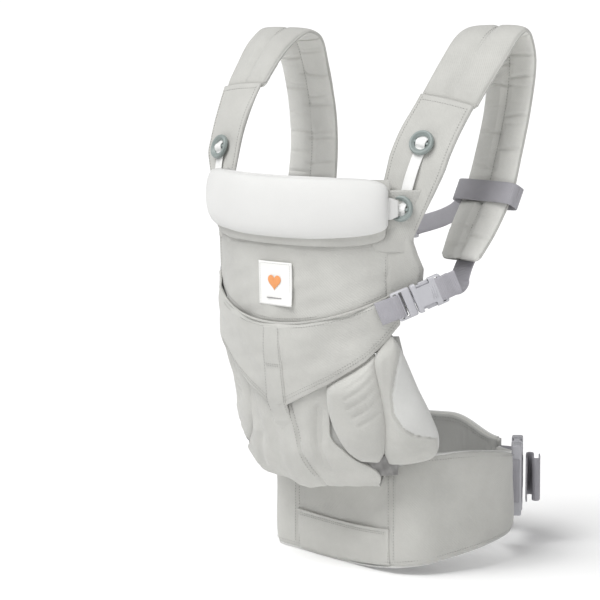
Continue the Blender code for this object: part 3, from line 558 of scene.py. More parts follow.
# ---- body panel ----
def panel_layer(name, angles, low, high, rows, relief, depth, **ride):
    """A piece of the panel: relief(arc, z, u, v) stands off its outer face, depth lies behind it."""
    a, v = np.meshgrid(angles, np.linspace(0.0, 1.0, rows), indexing="xy")
    z = low(a) * (1.0 - v) + high(a) * v
    u = (a - angles[0]) / (angles[-1] - angles[0])
    outer = panel(a, z, relief(np.radians(a) * ARC_RADIUS, z, u, v))
    return layer(name, outer, panel(a, z, -depth), "fabric", **ride)


def make_upper_panel():
    def relief(x, z, u, v):
        sides = fold(u, 0.012) + fold(1.0 - u, 0.012)
        base = fold(v, 0.02)
        drag = 1.1 * MM * np.sin(x * 75.0 + 2.0) * fold(z - 0.225, 0.05)
        top = np.clip((z - 0.350) / 0.012, 0.0, 1.0) ** 2
        soft = waves(x, z, 21, 0.085) * 1.1 * MM + waves(x * 0.5, z, 22, 0.022) * 0.40 * MM
        return 0.6 * MM + soft + drag - 1.6 * MM * sides - 1.6 * MM * base - 5.0 * MM * top

    made = panel_layer("upper_panel", np.linspace(-42.0, 42.0, 150), lambda a: arc_seam(a) - 0.004,
                       lambda a: COVER_TOP + 0.0 * a, 90, relief, 9.4 * MM,
                       replaces=("upper_panel_cover", "panel_foam"))
    a = np.linspace(-41.5, 41.5, 300)
    z = np.linspace(0.245, 0.352, 60)
    rows = [panel(a, arc_seam(a) + 0.0045, 1.0 * MM)]
    rows += [panel(s * 40.6, z, 0.6 * MM) for s in (-1.0, 1.0)]
    stitches("upper_panel_stitching", rows)


def flap_stand(degrees):
    """How far the flap stands off the panel: less towards its ends."""
    return 5.6 * MM - 3.4 * MM * ease((np.abs(np.radians(degrees)) * ARC_RADIUS - 0.108) / 0.024)


def make_cross_flap():
    def relief(x, z, u, v):
        pull = fold(near_line(np.abs(x), z, [(0.012, 0.124), (0.060, 0.185), (0.085, 0.222)]), 0.010)
        sweep = fold(near_line(np.abs(x), z, [(0.140, 0.225), (0.085, 0.190), (0.045, 0.170)]), 0.009)
        hem = np.clip((0.10 - v) / 0.10, 0.0, 1.0) ** 2
        seam = fold((1.0 - v) * (table([(0.0, 0.09), (0.14, 0.03)], np.abs(x))), 2.5 * MM)
        soft = waves(x, z, 31, 0.075) * 1.1 * MM + waves(x * 0.5, z, 32, 0.020) * 0.40 * MM
        stand = flap_stand(np.degrees(x / ARC_RADIUS))
        return stand + soft - 1.0 * MM * pull - 0.8 * MM * sweep - 0.4 * MM * hem - 1.7 * MM * seam

    panel_layer("cross_flap_cloth", np.linspace(-45.5, 45.5, 181), flap_edge, arc_seam, 70, relief, -1.6 * MM,
                replaces=("cross_flap",))
    a = np.linspace(-45.2, 45.2, 300)
    tube("arc_seam_piping", panel(a, arc_seam(a) + 0.0003, flap_stand(a) - 1.4 * MM), 1.25 * MM, "fabric")
    edge = np.concatenate([np.linspace(-45.0, -1.0, 120), np.linspace(1.0, 45.0, 120)])
    rows = [panel(edge, flap_edge(edge) + h, flap_stand(edge) + 0.4 * MM) for h in (0.0050, 0.0085)]
    rows.append(panel(a, arc_seam(a) - 0.0045, flap_stand(a) + 0.3 * MM))
    stitches("cross_flap_stitching", rows)


def make_centre_strip():
    def middle(z):
        return table([(0.09, -1.0), (0.12, -1.75), (0.205, 0.1)], z)

    def half(z):
        return table([(0.09, 4.6), (0.12, 4.65), (0.205, 3.6)], z)

    def stand(z):
        return 1.0 * MM + 5.4 * MM * ease((z - 0.102) / 0.026)

    z = np.linspace(0.0925, 0.2055, 90)
    a, zz = np.meshgrid(np.linspace(-1.0, 1.0, 18), z, indexing="xy")
    foot = ease((0.104 - zz) / 0.010)
    out = stand(zz) + waves(a * 0.012, zz, 41, 0.03) * 0.3 * MM - 0.8 * MM * np.abs(a) ** 8 - 2.2 * MM * foot
    outer = panel(middle(zz) + a * half(zz), zz, out)
    inner = panel(middle(zz) + a * half(zz), zz, out - 2.2 * MM)
    layer("centre_strip", outer, inner, "fabric")
    z = np.linspace(0.110, 0.2055, 60)
    rows = [panel(middle(z) + s * (half(z) - 0.55), z, stand(z) + 0.3 * MM) for s in (-1.0, 1.0)]
    across = np.linspace(-3.4, 3.4, 12)
    rows += [panel(across - 0.9, np.full_like(across, h), 6.9 * MM) for h in (0.1625, 0.1645)]
    stitches("centre_strip_stitching", rows)


def make_lining():
    a, v = np.meshgrid(np.linspace(-41.0, 41.0, 110), np.linspace(0.0, 1.0, 110), indexing="xy")
    z = (flap_edge(a) + 0.004) * (1.0 - v) + 0.3615 * v
    x = np.radians(a) * 0.17
    soft = waves(x, z, 51, 0.07) * 0.9 * MM + waves(x, z, 52, 0.022) * 0.2 * MM
    seams = fold(np.abs(x) - 0.055, 1.8 * MM)
    inner = panel(a, z, -12.2 * MM - soft + 1.2 * MM * seams)
    outer = panel(a, z, -10.0 * MM)
    layer("panel_inner_lining", outer, inner, "light",
                 replaces=("panel_lining",))
    zs = np.linspace(0.16, 0.35, 80)
    stitches("panel_lining_stitching",
             [panel(s * 18.5 + d, zs, -12.9 * MM) for s in (-1, 1) for d in (-1.0, 1.0)])


def make_wings():
    for side, sign in SIDES:
        v, u = np.meshgrid(np.linspace(0.0, 1.0, 70), np.linspace(0.0, 1.0, 24), indexing="ij")
        z = 0.216 + v * (0.352 - 0.216)
        edge = table([(0.216, 45.5), (0.236, 50.5), (0.255, 53.2), (0.270, 53.6), (0.284, 51.6), (0.298, 50.0),
                      (0.312, 50.0), (0.330, 52.0), (0.352, 55.0)], z)
        start = table([(0.216, 40.5), (0.25, 41.0), (0.352, 38.5)], z)
        a = start + (edge - start) * u
        x = np.radians(a) * 0.18
        roll = ease((u - 0.78) / 0.22)
        relief = 0.3 * MM + waves(x, z, 61, 0.05) * 0.6 * MM - 3.5 * MM * roll * roll - 1.2 * MM * fold(u, 0.08)
        outer = panel(sign * a, z, relief)
        inner = panel(sign * a, z, -5.0 * MM + 1.0 * MM * roll)
        pad(f"side_wing_cloth_{side}", outer, inner, "fabric", 0.3, replaces=(f"side_wing_{side}",))
        line = panel(sign * (edge[:, 0] - 1.6), z[:, 0], 0.0002)
        stitches(f"side_wing_stitching_{side}", [line])


def make_label():
    a, z = np.meshgrid(np.linspace(-6.4, 8.2, 24), np.linspace(0.2275, 0.2735, 24), indexing="xy")
    curl = ((a + 6.4) / 14.6) ** 2 * ((0.2735 - z) / 0.046) ** 4 * 2.6 * MM
    out = 2.4 * MM + curl + waves(np.radians(a) * 0.18, z, 71, 0.03) * 0.25 * MM
    a = a - (z - 0.25) * 6.3
    layer("label_patch", panel(a, z, out), panel(a, z, out - 0.7 * MM), "label", replaces=("care_label",))
    up = np.linspace(0.2290, 0.2720, 40)
    over = np.linspace(-5.6, 7.4, 40)
    rows = [panel(s - (up - 0.25) * 6.3, up, 2.9 * MM) for s in (-5.6, 7.4)]
    rows.append(panel(over - (0.2715 - 0.25) * 6.3, np.full_like(over, 0.2715), 2.9 * MM))
    stitches("label_stitching", rows, pitch=2.4 * MM, length=1.6 * MM, radius=0.22 * MM)
    turn = np.linspace(0.0, 2.0 * math.pi, 60, endpoint=False)
    x = 16.0 * np.sin(turn) ** 3
    y = 13.0 * np.cos(turn) - 5.0 * np.cos(2 * turn) - 2.0 * np.cos(3 * turn) - np.cos(4 * turn)
    ring, size = [], 0.56 * MM
    for reach in np.linspace(0.0, 1.0, 10):
        ring.append(panel(0.9 + np.degrees(x * size * reach / 0.181), 0.2525 + y * size * reach, 3.0 * MM
                          + 0.5 * MM * math.sqrt(max(0.0, 1.0 - reach ** 2))))
    corners = np.concatenate(ring)
    faces = [(i * 60 + j, i * 60 + (j + 1) % 60, (i + 1) * 60 + (j + 1) % 60, (i + 1) * 60 + j)
             for i in range(1, 9) for j in range(60)]
    faces += [tuple(60 + j for j in range(60))[::-1]]
    finish_piece("label_heart", mesh_of("label_heart", corners, faces, corners[:, :2]), "mark")
    bar = panel(np.linspace(-2.4, 4.0, 12), np.full(12, 0.2352), 3.1 * MM)
    tube("label_bar", bar, 0.5 * MM, "mark_grey", sides=6)


# ---- seat and leg rolls ----
def seat_grid(count, rows, out):
    """The seat's outer face, from under the flap down its front, under it and back to the belt."""
    across = np.linspace(-1.0, 1.0, count)
    base = []
    for v in np.linspace(0.0, 1.0, 4):
        a = 19.8 * across
        base.append(panel(a, (flap_edge(a) + 0.012) * (1.0 - v) + 0.102 * v, out))
    for z in (0.092, 0.083, 0.074, 0.066, 0.057, 0.048, 0.040, 0.035):
        half = table(SEAT_SIDE, z)
        low = 0.006 * ease((0.075 - z) / 0.03)
        base.append(panel(half * across, z - low * (1.0 - across ** 2), out))
    for stand, z in ((0.012, 0.036), (0.0030, 0.0475)):
        x = 0.076 * across
        base.append(np.stack([x, BELT_FRONT_Y + BELT_FRONT_SLOPE * x - stand, np.full_like(x, z)], axis=1))
    base = np.array(base)
    return np.stack([smooth_path(base[:, j], rows) for j in range(count)], axis=1)


def make_seat():
    grid = seat_grid(121, 100, 0.6 * MM)
    normal = -normals_of(grid)
    normal *= np.sign((normal * np.array((0.0, -1.0, -0.2))).sum(-1, keepdims=True))
    x, z = grid[..., 0], grid[..., 2]
    line = [(0.007, 0.135), (0.016, 0.094), (0.018, 0.070), (0.027, 0.042), (0.03, 0.02)]
    seam = fold(near_line(x, z, line), 1.8 * MM)
    gather = fold(near_line(x, z, [(0.045, 0.118), (0.040, 0.080), (0.044, 0.052)]), 6.0 * MM)
    crease = fold(near_line(x, z, [(-0.050, 0.125), (-0.040, 0.085), (-0.052, 0.050)]), 6.0 * MM)
    lower = ease((0.075 - z) / 0.03)
    pleats = lower * np.sin(x * 150.0 + 1.0) * 0.5 * MM
    soft = waves(x, z, 81, 0.055) * 1.3 * MM + waves(x, z, 82, 0.020) * 0.35 * MM
    relief = soft - 2.4 * MM * seam - 4.6 * MM * gather - 2.2 * MM * crease + pleats
    outer = grid + normal * relief[..., None]
    inner = grid - normal * 3.4 * MM
    pad("seat_cloth", outer, inner, "fabric", 0.3, replaces=("seat_panel",))
    zz = np.linspace(0.128, 0.040, 60)
    xs = np.interp(-zz, [-0.135, -0.094, -0.070, -0.042], [0.007, 0.016, 0.018, 0.027])
    rows = []
    for shift in (-2.8 * MM, 2.8 * MM):
        angle = np.degrees(np.arcsin((xs + shift) / np.interp(zz, PROFILE_FINE[:, 1], PROFILE_FINE[:, 0])))
        rows.append(panel(angle, zz, 1.6 * MM))
    stitches("seat_stitching", rows)


def roll_shape(outline, sign, rows, columns):
    """Arc, height and fullness over a leg roll."""
    ends = [smooth_path([(a, z * 1000.0, 0.0) for a, z in line], rows) for line in outline]
    u, v = np.meshgrid(np.linspace(-1.0, 1.0, columns), np.linspace(-1.0, 1.0, rows), indexing="xy")
    u = np.sin(u * math.pi / 2.0)
    a = ends[0][:, :1] * (1.0 - u) / 2.0 + ends[1][:, :1] * (1.0 + u) / 2.0
    z = (ends[0][:, 1:2] * (1.0 - u) / 2.0 + ends[1][:, 1:2] * (1.0 + u) / 2.0) / 1000.0
    full = np.sqrt(np.maximum(0.0, 1.0 - np.abs(u) ** 2.2)) * np.sqrt(np.maximum(0.0, 1.0 - np.abs(v) ** 5))
    return sign * a, z, u, v, full


def under_flap(out, a, z):
    """Holds a roll's face below the flap where the flap crosses it."""
    limit = 1.8 * MM + 1.5 * np.maximum(0.0, flap_edge(a) - 0.0015 - z)
    blend = 4.0 * MM
    return -blend * np.log(np.exp(-out / blend) + np.exp(-limit / blend))


def make_leg_rolls():
    for side, sign in SIDES:
        rise, sunk = ROLL_SWELL[side]
        a, z, u, v, full = roll_shape(FRONT_ROLL, sign, 80, 56)
        x = np.radians(np.abs(a)) * 0.175
        wrinkles = sum(fold(near_line(x, z, line), 1.9 * MM) for line in (
            [(0.086, 0.146), (0.100, 0.156), (0.112, 0.170)],
            [(0.084, 0.134), (0.100, 0.145), (0.114, 0.160)],
            [(0.086, 0.124), (0.102, 0.134), (0.117, 0.148)],
            [(0.092, 0.115), (0.106, 0.124), (0.119, 0.136)],
            [(0.098, 0.106), (0.110, 0.113), (0.121, 0.122)]))
        soft = waves(x, z, 91, 0.045) * 0.8 * MM
        out = rise * full + (soft - 1.3 * MM * wrinkles) * full
        outer = panel(a, z, under_flap(out, a, z) - sunk)
        inner = panel(a, z, -4.0 * MM - sunk - 0.25 * rise * full)
        pad(f"front_roll_cover_{side}", outer, inner, "fabric", 0.8, replaces=(f"front_leg_roll_{side}",))
        a, z, u, v, full = roll_shape(REAR_ROLL, sign, 90, 72)
        bound = table([(0.060, 62.0), (0.0905, 60.0), (0.0925, 55.0), (0.096, 50.5), (0.103, 46.8), (0.119, 43.6),
                       (0.139, 42.9), (0.170, 44.2), (0.196, 46.4), (0.21, 47.5)], z)
        arc = (np.abs(a) - bound) * 0.175 * math.pi / 180.0
        step = 1.8 * MM * ease(arc / 0.005) + 3.2 * MM * fold(arc, 2.0 * MM)
        x = np.radians(np.abs(a)) * 0.175
        folds = sum(fold(near_line(x, z, line), 3.0 * MM) for line in (
            [(0.124, 0.176), (0.125, 0.150), (0.127, 0.122)],
            [(0.128, 0.088), (0.150, 0.077), (0.170, 0.082)],
            [(0.134, 0.072), (0.152, 0.068), (0.168, 0.073)]))
        soft = waves(x, z, 93, 0.05) * 0.7 * MM
        out = rise * full + (soft - step - 1.1 * MM * folds) * full
        outer = panel(a, z, under_flap(out, a, z) - sunk)
        inner = panel(a, z, -4.0 * MM - sunk - 0.25 * rise * full)
        made = pad(f"rear_roll_cover_{side}", outer, inner, "fabric", 0.8,
                   replaces=(f"rear_leg_roll_{side}",))
        # The rear roll's inner facing takes the paler cloth, painted light: the facing is lit more than the roll's
        # front.
        made.data.materials.append(LOOKS["light"])
        inside = (arc > 0.0).reshape(-1)
        for face in made.data.polygons:
            face.material_index = int(inside[face.vertices[0] % inside.size])
        make_gusset(side, sign, sunk)


def make_gusset(side, sign, sunk):
    """The inner cloth behind the rolls, the crumpled lining below them (coloured dark as painted shade), and a
    bartack between.
    """
    outer_edge = [(0.058, 47.0), (0.069, 56.0), (0.088, 58.5), (0.116, 55.0), (0.145, 50.0), (0.215, 44.0)]
    u, z = np.meshgrid(np.linspace(0.0, 1.0, 40), np.linspace(0.058, 0.200, 40), indexing="xy")
    a = 17.0 + (table(outer_edge, z) - 17.0) * u
    outer = panel(sign * a, z, -3.2 * MM - sunk + waves(a * 0.003, z, 95, 0.04) * 0.5 * MM)
    inner = panel(sign * a, z, -4.6 * MM - sunk)
    name = f"side_gusset_{side}"
    # The gusset takes the darker grey lining cloth, which also paints in the shade of the gaps behind the rolls.
    layer(name, outer, inner, "lining")
    u, v = np.meshgrid(np.linspace(0.0, 1.0, 60), np.linspace(0.0, 1.0, 24), indexing="xy")
    a = 30.0 + 16.0 * u
    z = 0.046 + 0.024 * v + 0.003 * u
    ruffle = np.sin(u * 30.0 + 7.0 * v) * 1.1 * MM + np.sin(u * 13.0 - 9.0 * v + 1.0) * 1.4 * MM
    outer = panel(sign * a, z, -2.4 * MM - sunk + 4.0 * MM * u + ruffle * (0.3 + 0.7 * u))
    inner = outer + (panel(sign * a, z, -1.4 * MM) - panel(sign * a, z, 0.0))
    name = f"leg_lining_gather_{side}"
    # The crumpled lining is coloured dark to paint in the shade among its folds.
    layer(name, outer, inner, "shaded_gather")
    t = np.linspace(0.0, 1.0, 12)
    tack = panel(sign * (38.6 - 1.2 * t), 0.1725 + 0.011 * t, 4.6 * MM - sunk)
    tube(f"roll_bartack_{side}", tack, 0.9 * MM, "light", sides=6)


# ---- shoulder straps ----
def strap_frames(rows, count):
    """Points down the strap's outer face with its width, width direction, outward and along."""
    path = smooth_path(rows, count)
    along = unit(np.gradient(path[:, :3], axis=0))
    sign = 1.0 if path[0, 0] > 0.0 else -1.0
    side = np.stack([np.full(count, sign), path[:, 4], np.zeros(count)], axis=1)
    side = unit(side - along * (side * along).sum(-1, keepdims=True))
    out = unit(np.cross(side, along)) * sign
    return path[:, :3], path[:, 3], side, out, along


def make_strap_base(side):
    sign = 1.0 if side == "left" else -1.0
    point, width, across, out, _ = strap_frames(STRAPS[side], 220)
    last = int(220 * PAD_START) + 3
    u = np.linspace(-1.0, 1.0, 31)
    body = (point[6:last, None] + across[6:last, None] * (width[6:last, None] * u / 2.0)[..., None]
            + out[6:last, None] * (1.0 * MM * (1.0 - u ** 2))[None, :, None])
    rows = []
    for z, low, high in ((0.288, 37.0, 49.5), (0.300, 36.0, 49.6)):
        rows.append(panel(sign * (low + (high - low) * (u + 1.0) / 2.0), np.full_like(u, z), 1.2 * MM))
    picked = np.concatenate([np.array(rows), body[24::8]])
    grid = np.stack([smooth_path(picked[:, j], 110) for j in range(len(u))], axis=1)
    normal = normals_of(grid)
    normal *= np.sign((normal * np.array((0.0, -1.0, 0.4))).sum(-1, keepdims=True))
    v = np.linspace(0.0, 0.16, 110)[:, None]
    soft = waves(u[None] * 0.033, v, 101, 0.05) * 0.6 * MM - 0.9 * MM * fold(1.0 - np.abs(u[None]), 0.06)
    outer = grid + normal * soft[..., None]
    inner = grid - normal * 3.6 * MM
    name = f"strap_base_cloth_{side}"
    layer(name, outer, inner, "fabric", replaces=(f"strap_base_{side}",))
    lines = [outer[14:-2, j] + normal[14:-2, j] * 0.2 * MM for j in (2, 28)]
    lines.append(outer[-5, 2:29] + normal[-5, 2:29] * 0.2 * MM)
    stitches(f"strap_base_stitching_{side}", lines)


def make_strap_pad(side):
    """The padded part: two channels, with creases on the face that bends inward."""
    point, width, across, out, _ = strap_frames(STRAPS[side], 360)
    first = int(360 * PAD_START)
    point, width, across, out = point[first:], width[first:, None], across[first:], out[first:]
    around = 56
    length = run_of(point)[:, None]
    bend = np.linalg.norm(np.gradient(unit(np.gradient(point, axis=0)), axis=0), axis=1)
    bend = np.convolve(bend / np.gradient(length[:, 0]), np.ones(9) / 9.0, mode="same")[:, None]
    turn = np.linspace(0.0, 2.0 * math.pi, around, endpoint=False)
    c, s = np.cos(turn)[None], np.sin(turn)[None]
    u = np.sign(c) * np.abs(c) ** 0.80
    h = np.sign(s) * np.abs(s) ** 0.62
    over, under = np.maximum(0.0, h), np.maximum(0.0, -h)
    end = np.minimum(length, length[-1] - length)
    round_end = np.sqrt(np.clip(1.0 - (1.0 - np.clip(end / 0.009, 0.0, 1.0)) ** 2, 0.0, 1.0))
    seed = 111 if side == "left" else 131
    lanes = waves(length, u * 0.012, seed, 0.055) * 0.8 * MM
    creases = np.zeros((len(point), around))
    for lane in (-1.0, 1.0):
        for k in range(int(length[-1, 0] / 0.015)):
            at = 0.015 * k + 0.006 * math.sin(2.7 * k + seed + 2.0 * lane)
            slant = 0.003 * math.sin(1.9 * k + lane) * np.abs(u)
            depth = 0.5 + 0.5 * math.sin(4.1 * k + seed - lane)
            creases += (u * lane > 0.0) * depth * fold(length - at - slant, 1.5 * MM)
    creases *= (0.9 + np.clip(bend / 22.0, 0.0, 1.3)) * 2.5 * MM
    from_seam = u * width / 2.0
    rise = h * PAD_HALF_THICK * (0.30 + 0.70 * round_end) + lanes * np.abs(h)
    rise = rise - over * 3.6 * MM * fold(from_seam, 3.2 * MM)
    rise = rise + under * (creases + 3.4 * MM * fold(from_seam, 3.0 * MM))
    reach = u * (width / 2.0 - 3.0 * MM * (1.0 - round_end))
    ring = (point[:, None] + across[:, None] * reach[..., None]
            + out[:, None] * (PAD_MIDDLE + rise[..., None]))
    uv = np.stack(np.broadcast_arrays(u * 0.04, length), axis=-1).reshape(-1, 2)
    name = f"strap_pad_{side}"
    mesh = outward(mesh_of(name, ring.reshape(-1, 3), ring_faces(len(point), around), uv))
    made = finish_piece(name, mesh, "fabric", replaces=(f"strap_cover_{side}", f"strap_foam_{side}",
                                                       f"strap_lining_{side}"))
    # The inward half of each pad takes the lighter strap cloth: painted light on the pads' inner faces.
    mesh.materials.append(LOOKS["strap"])
    for face in mesh.polygons[:(len(point) - 1) * around]:
        face.material_index = int(face.index % around >= around // 2)
    for word, way in (("outer", 1.0), ("inner", -1.0)):
        edge = point + out * PAD_MIDDLE + across * (width / 2.0 - 0.4 * MM) * way
        tube(f"strap_{word}_piping_{side}", edge[3:-3], 1.5 * MM, "fabric")
    mid = point[14:-14] - out[14:-14] * 3.2 * MM
    lines = [mid + across[14:-14] * d for d in (-1.6 * MM, 1.6 * MM)]
    lines.append(point[14:-14] - out[14:-14] * 10.2 * MM)
    stitches(f"strap_pad_stitching_{side}", lines)


# ---- head support ----
def make_head_support():
    ride = {"body": "head_support"}
    u, v = np.meshgrid(np.linspace(-1.0, 1.0, 150), np.linspace(-1.0, 1.0, 56), indexing="xy")
    low, high = HEAD_HEIGHTS
    mid, half = (low + high) / 2.0, (high - low) / 2.0

    def corner(across, up):
        """1 in the middle of the support, 0 at its ends: its lower corners are rounder."""
        return (1.0 - np.abs(across) ** np.where(up < 0.0, 4.5, 9.0)) ** 0.5

    def height(across, up):
        return mid + up * half * (0.56 + 0.44 * corner(across, up)) + 0.0015 * across ** 2

    z = height(u, v)
    full = np.sqrt(np.maximum(0.0, 1.0 - v ** 2)) ** 0.85 * (1.0 - np.abs(u) ** 14) ** 0.5
    soft = waves(u * 0.13, z, 151, 0.09) * 0.7 * MM
    outer = panel(u * 41.3, z, 7.6 * MM + (11.5 * MM + soft) * full)
    pad("head_support_pillow", outer, panel(u * 41.3, z, 4.6 * MM), "white", 0.75,
        replaces=("head_support_pad",), **ride)
    turn = np.linspace(0.0, 2.0 * math.pi, 240, endpoint=False)
    ru = 0.998 * np.sign(np.cos(turn)) * np.abs(np.cos(turn)) ** 0.5
    rv = np.sign(np.sin(turn)) * np.abs(np.sin(turn)) ** 0.5
    tube("head_support_piping", panel(ru * 41.4, height(ru, rv), 6.6 * MM), 1.3 * MM, "white", closed=True, **ride)
    low, high = HEAD_BACK_HEIGHTS
    z = (low + high) / 2.0 + v * (high - low) / 2.0 * (0.60 + 0.40 * corner(u, v))
    outer = panel(u * 40.6, z, 7.0 * MM + waves(u * 0.13, z, 153, 0.05) * 0.4 * MM - 3.0 * MM * np.abs(v) ** 8)
    layer("head_support_back_cloth", outer, panel(u * 40.6, z, 2.4 * MM), "fabric",
          replaces=("head_support_backing",), **ride)
    start, end = HEAD_TAB_ANGLES
    for side, sign in SIDES:
        a, up = np.meshgrid(np.linspace(start, end, 14), np.linspace(-1.0, 1.0, 14), indexing="xy")
        z = HEAD_TAB_HEIGHT + up * HEAD_TAB_HALF * (1.0 - 0.35 * ease((a - 41.5) / 4.0))
        arch = 1.2 * MM * np.sin((a - start) / (end - start) * math.pi)
        layer(f"head_support_tab_{side}", panel(sign * a, z, 4.6 * MM + arch),
              panel(sign * a, z, 3.2 * MM + arch), "white", **ride)


# ---- buttons ----
def placement(origin, x_axis, z_axis):
    """A matrix whose X runs along x_axis and whose Z is as near z_axis as that allows."""
    x = unit(x_axis)
    y = unit(np.cross(z_axis, x))
    z = np.cross(x, y)
    place = Matrix([(*row, 0.0) for row in np.stack([x, y, z], axis=1)] + [(0.0, 0.0, 0.0, 1.0)])
    place.translation = Vector(origin)
    return place


def turned(profile, segments=48):
    """Corners and faces of a ring turned round Z from a (radius, height) profile in millimetres."""
    angle = np.linspace(0.0, 2.0 * math.pi, segments, endpoint=False)
    corners = [(r * MM * math.cos(t), r * MM * math.sin(t), h * MM) for r, h in profile for t in angle]
    return corners, ring_faces(len(profile), segments, closed=True)


def rounded_box(low, high, radius, segments=3):
    """A box between two corners in millimetres, with rounded edges."""
    work = bmesh.new()
    low, high = np.array(low) * MM, np.array(high) * MM
    bmesh.ops.create_cube(work, size=1.0, matrix=Matrix.Translation(Vector((low + high) / 2.0))
                          @ Matrix.Diagonal((*(high - low), 1.0)))
    bmesh.ops.bevel(work, geom=work.edges[:], offset=radius * MM, segments=segments, profile=0.5,
                    affect="EDGES")
    return work


def joined(name, works, place):
    """One mesh of several bmeshes, put in place."""
    whole = bmesh.new()
    for work in works:
        part = bpy.data.meshes.new("part")
        work.to_mesh(part)
        work.free()
        whole.from_mesh(part)
        bpy.data.meshes.remove(part)
    bmesh.ops.recalc_face_normals(whole, faces=whole.faces)
    mesh = bpy.data.meshes.new(name)
    whole.to_mesh(mesh)
    whole.free()
    mesh.transform(place)
    return mesh


def spot(place, x, z, y=0.0):
    """A point given in millimetres in a placed piece's own axes."""
    return np.array(place @ Vector((x * MM, y * MM, z * MM)))


def make_buttons():
    for side, _ in SIDES:
        point, _, across, out, _ = strap_frames(STRAPS[side], STRAP_ROWS)
        for level, k in zip(("lower", "upper"), BUTTON_STATIONS[side]):
            name = f"button_{level}_{side}"
            place = placement(point[k] + out[k] * BUTTON_STAND_OFF[level], across[k], out[k])
            corners, faces = turned(BUTTON_RIM)
            ring = bmesh.new()
            ring.from_mesh(mesh_of("ring", corners, faces))
            bar = rounded_box((-8.8, -1.5, 1.2), (8.8, 1.5, 3.6), 0.8)
            finish_piece(name + "_moulding", joined(name, [ring, bar], place), "button", body=name,
                         replaces=(name,))
            bow = [spot(place, 0.0, h, y) for y, h in BUTTON_TAPE_BOW]
            ribbon(name + "_tape", smooth_path(bow, 24), across[k], 0.0115, "tape", 0.9 * MM, body=name)
        point, _, across, out, _ = strap_frames(STRAPS[side], 220)
        a, b = (int((k + step) / 55.0 * 219) for k, step in zip(BUTTON_STATIONS[side], (-1.0, 1.2)))
        lift = 1.9 * MM + 1.4 * MM * np.sin(np.linspace(0.0, math.pi, b - a))[:, None] ** 2
        ribbon(f"button_tape_cloth_{side}", point[a:b] + out[a:b] * lift, across[a:b], 0.0125, "tape", 1.0 * MM,
               replaces=(f"button_tape_{side}",))


# ---- buckles and webbing ----
def cut_out(mesh, tools, place):
    """The mesh with boxes cut out of it, by Boolean."""
    target = linked("target", mesh)
    made = [target]
    for work in tools:
        tool = linked("tool", joined("tool", [work], place))
        step = target.modifiers.new("cut", "BOOLEAN")
        step.operation = "DIFFERENCE"
        step.solver = "EXACT"
        step.object = tool
        made.append(tool)
    seen = target.evaluated_get(bpy.context.evaluated_depsgraph_get())
    result = bpy.data.meshes.new_from_object(seen)
    for item in made:
        bpy.data.objects.remove(item, do_unlink=True)
    return result


def make_buckle(name, place, size, plug_body, socket_body):
    """A side-release buckle round the CAD one: its X runs from the plug to the socket, in millimetres."""
    width, thick, tape, base, reach, end = size
    half, deep, slot = width / 2.0, thick / 2.0, tape / 2.0 + 1.0
    wall, past = 2.0, 10.0
    edge_round = min(2.2, deep * 0.45)
    plug = joined("plug", [rounded_box((-base, -half, 1.0 - deep), (-0.6, half, deep - 1.0), edge_round)], place)
    holes = [rounded_box((x - base, -slot, -2 * past), (x + 3.4 - base, slot, 2 * past), 0.6, 1)
             for x in (2.5, 8.5)]
    plug = cut_out(plug, holes, place)
    whole = bmesh.new()
    whole.from_mesh(plug)
    whole.from_mesh(joined("tongue", [rounded_box((-1.0, -3.0, -1.2), (reach - 2.0, 3.0, 1.2), 0.6)], place))
    whole.to_mesh(plug)
    whole.free()
    soft_part(name + "_plug_moulding", plug, plug_body, name + "_plug")
    shell = joined("socket", [rounded_box((0.4, -half, -deep), (end, half, deep), edge_round)], place)
    windows = [rounded_box((-past, wall - half, wall - deep), (reach + 1.5, half - wall, deep - wall), 0.5, 1),
               rounded_box((6.0, half - 5.2, -deep - past), (reach - 1.0, half + past, deep + past), 1.0, 2),
               rounded_box((6.0, -half - past, -deep - past), (reach - 1.0, 5.2 - half, deep + past), 1.0, 2),
               rounded_box((end - 7.0, -slot, -2 * past), (end - 3.2, slot, 2 * past), 0.6, 1)]
    soft_part(name + "_socket_moulding", cut_out(shell, windows, place), socket_body, name + "_socket")
    ribs = [rounded_box((x, -half * 0.45, deep - 0.3), (x + 1.2, half * 0.45, deep + 0.35), 0.3, 1)
            for x in (end - 15.0, end - 12.8, end - 10.6)]
    finish_piece(name + "_socket_ribs", joined("ribs", ribs, place), "buckle", body=socket_body)
    out = half - wall - 0.5
    for edge, sign in (("upper", 1.0), ("lower", -1.0)):
        near, far = sorted((sign * out, sign * (out - 3.0)))
        arm = rounded_box((0.0, near, wall + 0.6 - deep), (reach - 1.0, far, deep - wall - 0.6), 0.8)
        near, far = sorted((sign * (half - 0.8), sign * (out - 4.0)))
        head = rounded_box((reach * 0.45, near, wall + 0.7 - deep), (reach - 1.6, far, deep - wall - 0.7), 1.0)
        piece = f"{name}_prong_{edge}"
        finish_piece(piece + "_moulding", joined(piece, [arm, head], place), "buckle", body=piece,
                     replaces=(piece,))


def soft_part(name, mesh, body, node):
    """A moulded buckle piece with its edges slightly rounded."""
    made = finish_piece(name, mesh, "buckle", body=body, replaces=(node,))
    mesh.set_sharp_from_angle(angle=math.radians(38.0))
    edge = made.modifiers.new("edges", "BEVEL")
    edge.width = 0.35 * MM
    edge.segments = 2
    edge.limit_method = "ANGLE"
    edge.angle_limit = math.radians(40.0)


